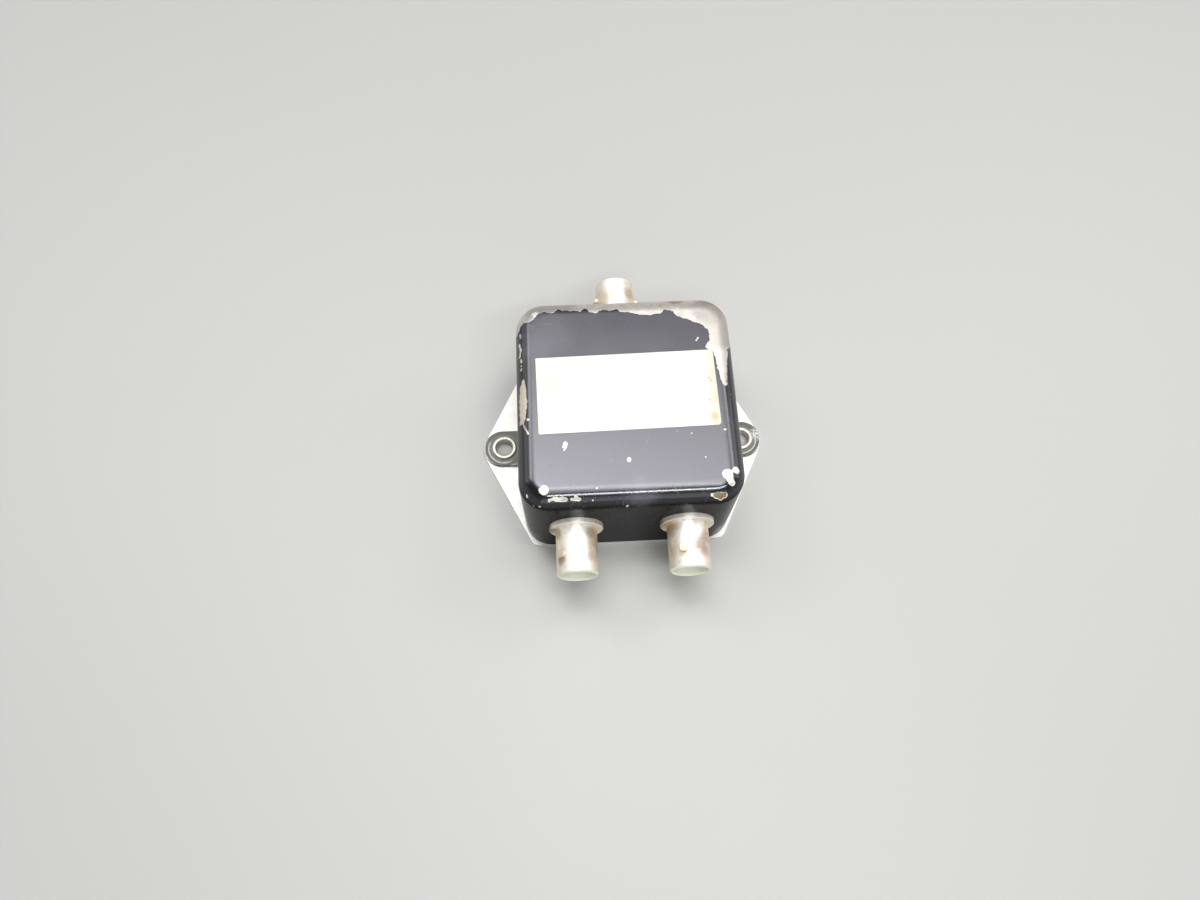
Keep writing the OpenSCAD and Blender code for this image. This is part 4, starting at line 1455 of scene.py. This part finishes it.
@dataclass
class Housing:
    """The drawn can with its ears, and the coat of paint on it."""

    form: CanForm = field(default_factory=CanForm)
    dust: Dust = Dust()
    # Pale chip floors. The palest ones on and near the roof are partly painted highlights, where bare metal
    # facing the lights overhead would shine, and the spot at the rear border is a painted highlight only.
    bright: tuple[Spot, ...] = (
        Spot((-19.7, -22.2, 31.6), 1.9, WHITE),
        Spot((23.0, -19.3, 31.2), 1.7, WHITE),
        Spot((21.2, -20.6, 31.6), 2.2, WHITE),
        Spot((-22.8, -5.1, 31.4), 0.9, WHITE),
        Spot((-22.9, -8.2, 31.4), 0.9, WHITE),
        Spot((-14.7, -11.9, 31.75), 1.4, (0.86, 0.82, 0.82)),
        Spot((-0.6, -15.9, 31.75), 1.2, WHITE),
        Spot((-17.3, -24.2, 30.9), 1.4, CREAM),
        Spot((-13.0, -24.2, 30.9), 1.4, (0.60, 0.60, 0.52)),
        Spot((17.3, -24.5, 30.6), 0.5, WHITE),
        Spot((-24.3, 12.0, 30.4), 3.4, CREAM, 0.8),
        Spot((-23.9, 0.0, 31.0), 6.0, (0.74, 0.65, 0.54), 0.8),
        Spot((-20.5, 21.6, 31.3), 0.9, WHITE, 0.8),
        Spot((24.0, 8.0, 31.0), 3.4, (0.72, 0.68, 0.65), 0.7),
    )
    rust: tuple[Spot, ...] = (
        Spot((19.2, -24.9, 30.0), 2.2, (0.30, 0.255, 0.19)),
        Spot((19.4, -24.9, 29.9), 0.8, (0.33, 0.23, 0.13)),
        Spot((13.0, 25.0, 29.6), 2.2, RUST, 0.6),
        Spot((20.5, 24.0, 29.6), 2.2, RUST, 0.7),
        Spot((22.6, 22.0, 29.6), 1.6, OCHRE, 0.6),
        Spot((5.0, 25.6, 28.0), 1.6, OCHRE, 0.6),
        Spot((-12.0, 25.2, 28.6), 1.6, OCHRE, 0.5),
        Spot((-17.0, 24.4, 30.2), 6.0, (0.36, 0.34, 0.31), 0.75),
        Spot((20.5, 21.5, 31.4), 4.0, (0.36, 0.33, 0.30), 0.6),
        Spot((22.4, 15.5, 31.6), 4.5, (0.44, 0.41, 0.37), 0.6),
    )

    def dress(self) -> None:
        """Dresses the bare can and lays the coat on it."""
        metal = HousingFinish(spots=(*self.rust, *self.bright)).material()
        dress_node("housing", metal)
        coat = PaintCoat(self.form)
        for piece in (*coat.dress(metal), self.dust.scatter(coat)):
            log.info("piece %s: %d faces", piece.name, len(piece.data.polygons))


@dataclass
class Roof:
    """What is stuck on the roof."""

    label: Label = field(default_factory=Label)

    def dress(self) -> None:
        """Lays the label."""
        piece = self.label.dress()
        log.info("piece %s: %d faces", piece.name, len(piece.data.polygons))


@dataclass
class Base:
    """The flat base plate and the two hollow rivets that hold the ears to it."""

    plate: PlainFinish = PlainFinish(
        "base_plate_metal", (0.78, 0.77, 0.75), (0.70, 0.69, 0.66), metallic=0.4, roughness=(0.38, 0.52),
        size=0.4, grain=Grain.BRUSHED_ACROSS, depth=0.006, turn=8.0)
    eyelet: PlainFinish = PlainFinish(
        "eyelet_metal", (0.64, 0.62, 0.55), (0.44, 0.42, 0.36), metallic=0.6, roughness=(0.34, 0.50),
        size=0.6)

    def dress(self) -> None:
        """Dresses the plate and the rivets."""
        dress_node("base_plate", self.plate.material())
        rivet = self.eyelet.material()
        for side in ("left", "right"):
            dress_node(f"eyelet_{side}", rivet)


@dataclass(frozen=True)
class Jack:
    """One coaxial jack, from its plated shell to the wire behind it."""

    name: str
    finish: PlatingFinish

    def dress(self, inner: dict[str, bpy.types.Material]) -> None:
        """Dresses the jack's pieces.

        Args:
            inner: The materials of the pieces inside, by the end of the node's name.
        """
        dress_node(f"{self.name}_shell", self.finish.material())
        for part, material in inner.items():
            dress_node(f"{self.name}_{part}", material)


@dataclass
class Jacks:
    """The three jacks."""

    antenna: Jack = Jack("antenna", PlatingFinish(
        "antenna_plating", axis_x=-0.5, wall_y=25.8, facing=0.0, stains=(
        Spot((3.4, 8.0, 3.2), 1.6, (0.52, 0.38, 0.24), 0.8),
        Spot((-3.0, 6.6, 3.6), 2.0, (0.66, 0.54, 0.40), 0.7),
        Spot((-0.6, 7.0, 4.8), 0.9, (0.55, 0.56, 0.46), 0.6)), lugs=((4.78, 7.7, -0.67), (-4.78, 7.7, 0.67))))
    left: Jack = Jack("receiver_left", PlatingFinish(
        "left_plating", axis_x=-12.95, wall_y=-25.8, facing=180.0, stains=(
        Spot((3.6, 8.9, 3.0), 1.3, (0.34, 0.23, 0.13), 0.9),
        Spot((4.2, 2.8, 2.4), 1.1, (0.42, 0.30, 0.18), 0.8),
        # Painted shade at the left end of the flange.
        Spot((6.2, 0.7, 0.6), 2.0, (0.20, 0.16, 0.09), 0.85),
        Spot((-3.3, 3.0, 3.5), 1.3, (0.44, 0.31, 0.18), 0.8),
        Spot((-4.1, 6.0, 2.5), 2.4, (0.56, 0.44, 0.30), 0.7),
        Spot((-3.0, 8.6, 3.7), 1.0, (0.50, 0.40, 0.38), 0.6)), lugs=((3.41, 7.7, 3.41), (-3.41, 7.7, -3.41))))
    right: Jack = Jack("receiver_right", PlatingFinish(
        "right_plating", axis_x=12.95, wall_y=-25.8, facing=180.0, stains=(
        Spot((-2.6, 7.3, 4.0), 2.3, (0.42, 0.30, 0.26), 0.85),
        Spot((-4.0, 5.2, 2.8), 1.8, (0.50, 0.38, 0.28), 0.7),
        Spot((4.1, 2.4, 2.4), 1.8, (0.60, 0.38, 0.20), 0.85),
        # Painted shade at the left end of the flange.
        Spot((6.2, 0.7, 0.4), 1.9, (0.36, 0.30, 0.19), 0.8),
        Spot((2.0, 8.8, 4.4), 0.9, (0.58, 0.42, 0.26), 0.8),
        Spot((3.9, 8.0, 2.8), 1.4, (0.62, 0.48, 0.32), 0.6)), lugs=((1.57, 7.7, 4.56), (-1.57, 7.7, -4.56))))
    inner: dict[str, PlainFinish] = field(default_factory=lambda: {
        "insulator": PlainFinish("insulator_white", (0.86, 0.84, 0.76), (0.78, 0.74, 0.62), size=1.5),
        "contact": metal_finish("contact_gold", (0.83, 0.62, 0.26), (0.62, 0.42, 0.16), (0.2, 0.35), 0.5),
        "lock_washer": metal_finish("washer_steel", (0.52, 0.52, 0.50), (0.38, 0.37, 0.35), (0.3, 0.45), 0.5),
        "earth_tag": metal_finish("tag_brass", (0.66, 0.58, 0.40), (0.48, 0.40, 0.26), (0.3, 0.5), 0.8),
        "nut": metal_finish("nut_plating", (0.72, 0.69, 0.62), (0.52, 0.47, 0.40), (0.25, 0.42), 0.7),
        "lead": metal_finish("tinned_wire", (0.68, 0.65, 0.58), (0.52, 0.48, 0.40), (0.3, 0.45), 0.4),
    })

    def dress(self) -> None:
        """Dresses all three jacks."""
        inner = {part: finish.material() for part, finish in self.inner.items()}
        for jack in (self.antenna, self.left, self.right):
            jack.dress(inner)


@dataclass
class Board:
    """The circuit board inside, and what is soldered to it."""

    finishes: dict[str, PlainFinish] = field(default_factory=lambda: {
        "circuit_board": PlainFinish("board_laminate", (0.10, 0.22, 0.11), (0.15, 0.28, 0.14), size=0.5),
        "solder_joints": metal_finish("solder", (0.60, 0.61, 0.62), (0.46, 0.47, 0.48), (0.25, 0.4), 0.4),
        "transformer_core": PlainFinish("ferrite", (0.060, 0.055, 0.052), (0.10, 0.09, 0.085), size=0.3),
        "balance_resistor": PlainFinish(
            "resistor_body", (0.42, 0.27, 0.14), (0.50, 0.34, 0.19), size=0.6, coat=0.4),
    })
    wire: PlainFinish = PlainFinish(
        "enamelled_wire", (0.60, 0.24, 0.09), (0.42, 0.14, 0.05), 0.9, (0.18, 0.3), size=0.8, coat=0.6)
    capacitor: PlainFinish = PlainFinish(
        "capacitor_dip", (0.68, 0.36, 0.10), (0.58, 0.29, 0.08), size=0.9, coat=0.7)

    def dress(self) -> None:
        """Dresses the board and its parts."""
        for node, finish in self.finishes.items():
            dress_node(node, finish.material())
        wire, dip = self.wire.material(), self.capacitor.material()
        for turn in ("primary", "secondary"):
            dress_node(f"{turn}_winding", wire)
        for side in ("left", "right"):
            dress_node(f"capacitor_{side}", dip)


@dataclass(frozen=True)
class Viewpoint:
    """Where the photograph was taken from, in millimetres and degrees, in the part's own frame."""

    place: Point = (-13.3, -89.125, 223.216)
    down: float = 68.337
    yaw: float = 4.791
    roll: float = 2.113
    focal_px: float = 924.3
    image_w: float = 1200.0
    sensor_w: float = 36.0
    clip_start: float = 0.01

    def stand(self) -> bpy.types.Object:
        """Puts the camera there and makes it the scene's own.

        Returns:
            The camera.
        """
        down, yaw, roll = (math.radians(a) for a in (self.down, self.yaw, self.roll))
        ahead = Vector((math.sin(yaw) * math.cos(down), math.cos(yaw) * math.cos(down), -math.sin(down)))
        level = Vector((math.cos(yaw), -math.sin(yaw), 0))
        upright = level.cross(ahead)
        right = math.cos(roll) * level + math.sin(roll) * upright
        up = math.cos(roll) * upright - math.sin(roll) * level
        data = bpy.data.cameras.new("viewpoint")
        data.sensor_fit = "HORIZONTAL"
        data.sensor_width = self.sensor_w
        data.lens = self.focal_px / self.image_w * self.sensor_w
        data.clip_start = self.clip_start
        camera = put("viewpoint", data)
        turn = Matrix((right, up, -ahead)).transposed().to_4x4()
        camera.matrix_world = Matrix.Translation(Vector(self.place) * MM) @ turn
        bpy.context.scene.camera = camera
        return camera


@dataclass(frozen=True)
class Softbox:
    """A soft light, by where it hangs in metres and how bright its face is."""

    name: str
    place: Point
    size: Place
    radiance: float
    colour: Colour = (1.0, 1.0, 1.0)

    def hang(self, aim: Point = (0.0, 0.0, 0.01)) -> None:
        """Hangs the light.

        Args:
            aim: The point that it faces.
        """
        data = bpy.data.lights.new(self.name, "AREA")
        data.shape = "RECTANGLE"
        data.size, data.size_y = self.size
        data.energy = self.radiance * math.pi * data.size * data.size_y
        data.color = self.colour
        lamp = put(self.name, data)
        lamp.location = self.place
        lamp.rotation_mode = "QUATERNION"
        lamp.rotation_quaternion = (Vector(aim) - Vector(self.place)).to_track_quat("-Z", "Y")


@dataclass
class Studio:
    """The pale floor, the soft lights and the pale surroundings."""

    floor_r: float = 0.75
    floor_sides: int = 96
    floor_grain: float = 30.0
    floor_colour: Colour = (0.45, 0.45, 0.44)
    horizon: Colour = (0.40, 0.41, 0.42)
    zenith: Colour = (0.09, 0.094, 0.10)
    fade: Place = (0.12, 0.60)
    boxes: tuple[Softbox, ...] = (
        Softbox("rear_box", (0.03, 0.215, 0.80), (0.66, 0.27), 5.6, (1.0, 0.985, 0.97)),
        Softbox("left_wing", (-0.50, 0.37, 0.75), (0.38, 0.24), 4.2, (1.0, 0.985, 0.97)),
        Softbox("right_wing", (0.58, 0.38, 0.71), (0.42, 0.24), 4.2, (1.0, 0.985, 0.97)),
        Softbox("left_box", (-0.85, 0.40, 0.52), (0.60, 0.55), 0.7, (1.0, 0.98, 0.95)),
        Softbox("right_box", (0.95, 0.20, 0.48), (0.50, 0.60), 1.1, (1.0, 0.98, 0.95)),
        Softbox("edge_strip", (0.03, 0.045, 0.90), (0.60, 0.10), 14.0, (1.0, 0.99, 0.98)),
        Softbox("between_box", (0.06, -0.16, 0.92), (0.60, 0.26), 2.4, (1.0, 0.99, 0.98)),
        Softbox("bend_strip", (0.16, -0.47, 0.80), (0.62, 0.06), 24.0, (0.97, 1.0, 0.98)),
        Softbox("front_box", (0.09, -0.90, 0.42), (1.10, 0.50), 0.7, (1.0, 0.99, 0.96)),
    )

    def floor(self) -> None:
        """Lays the floor, a round card."""
        angles = [2 * math.pi * i / self.floor_sides for i in range(self.floor_sides)]
        rim = [(self.floor_r * math.cos(a), self.floor_r * math.sin(a), 0) for a in angles]
        mesh = bpy.data.meshes.new("floor")
        mesh.from_pydata(rim, [], [tuple(range(self.floor_sides))])
        card = PlainFinish("floor_card", self.floor_colour, self.floor_colour, size=self.floor_grain)
        mesh.materials.append(card.material())
        put("floor", mesh)

    def light(self) -> None:
        """Hangs the lights and sets the surroundings."""
        world = bpy.data.worlds.new("surroundings")
        world.use_nodes = True
        sky = NodeBench(world.node_tree)
        direction = sky.node("ShaderNodeTexCoord", {}).outputs["Generated"]
        height = sky.node("ShaderNodeSeparateXYZ", {"Vector": direction}).outputs["Z"]
        ends = {"Value": height, "From Min": self.fade[0], "From Max": self.fade[1]}
        rise = sky.node("ShaderNodeMapRange", ends, interpolation_type="SMOOTHSTEP").outputs["Result"]
        tones = {0: rise, 6: self.horizon, 7: self.zenith}
        colour = sky.node("ShaderNodeMix", tones, data_type="RGBA").outputs[2]
        sky.fill(world.node_tree.nodes["Background"], {"Color": colour})
        bpy.context.scene.world = world
        bpy.context.scene.view_settings.view_transform = "Standard"
        for box in self.boxes:
            box.hang()


def main() -> None:
    """Builds the scene in order."""
    logging.basicConfig(level=logging.INFO, format="%(name)s: %(message)s")
    Viewpoint().stand()
    studio = Studio()
    studio.floor()
    studio.light()
    for assembly in (Housing(), Roof(), Base(), Jacks(), Board()):
        assembly.dress()


if __name__ == "__main__":
    main()
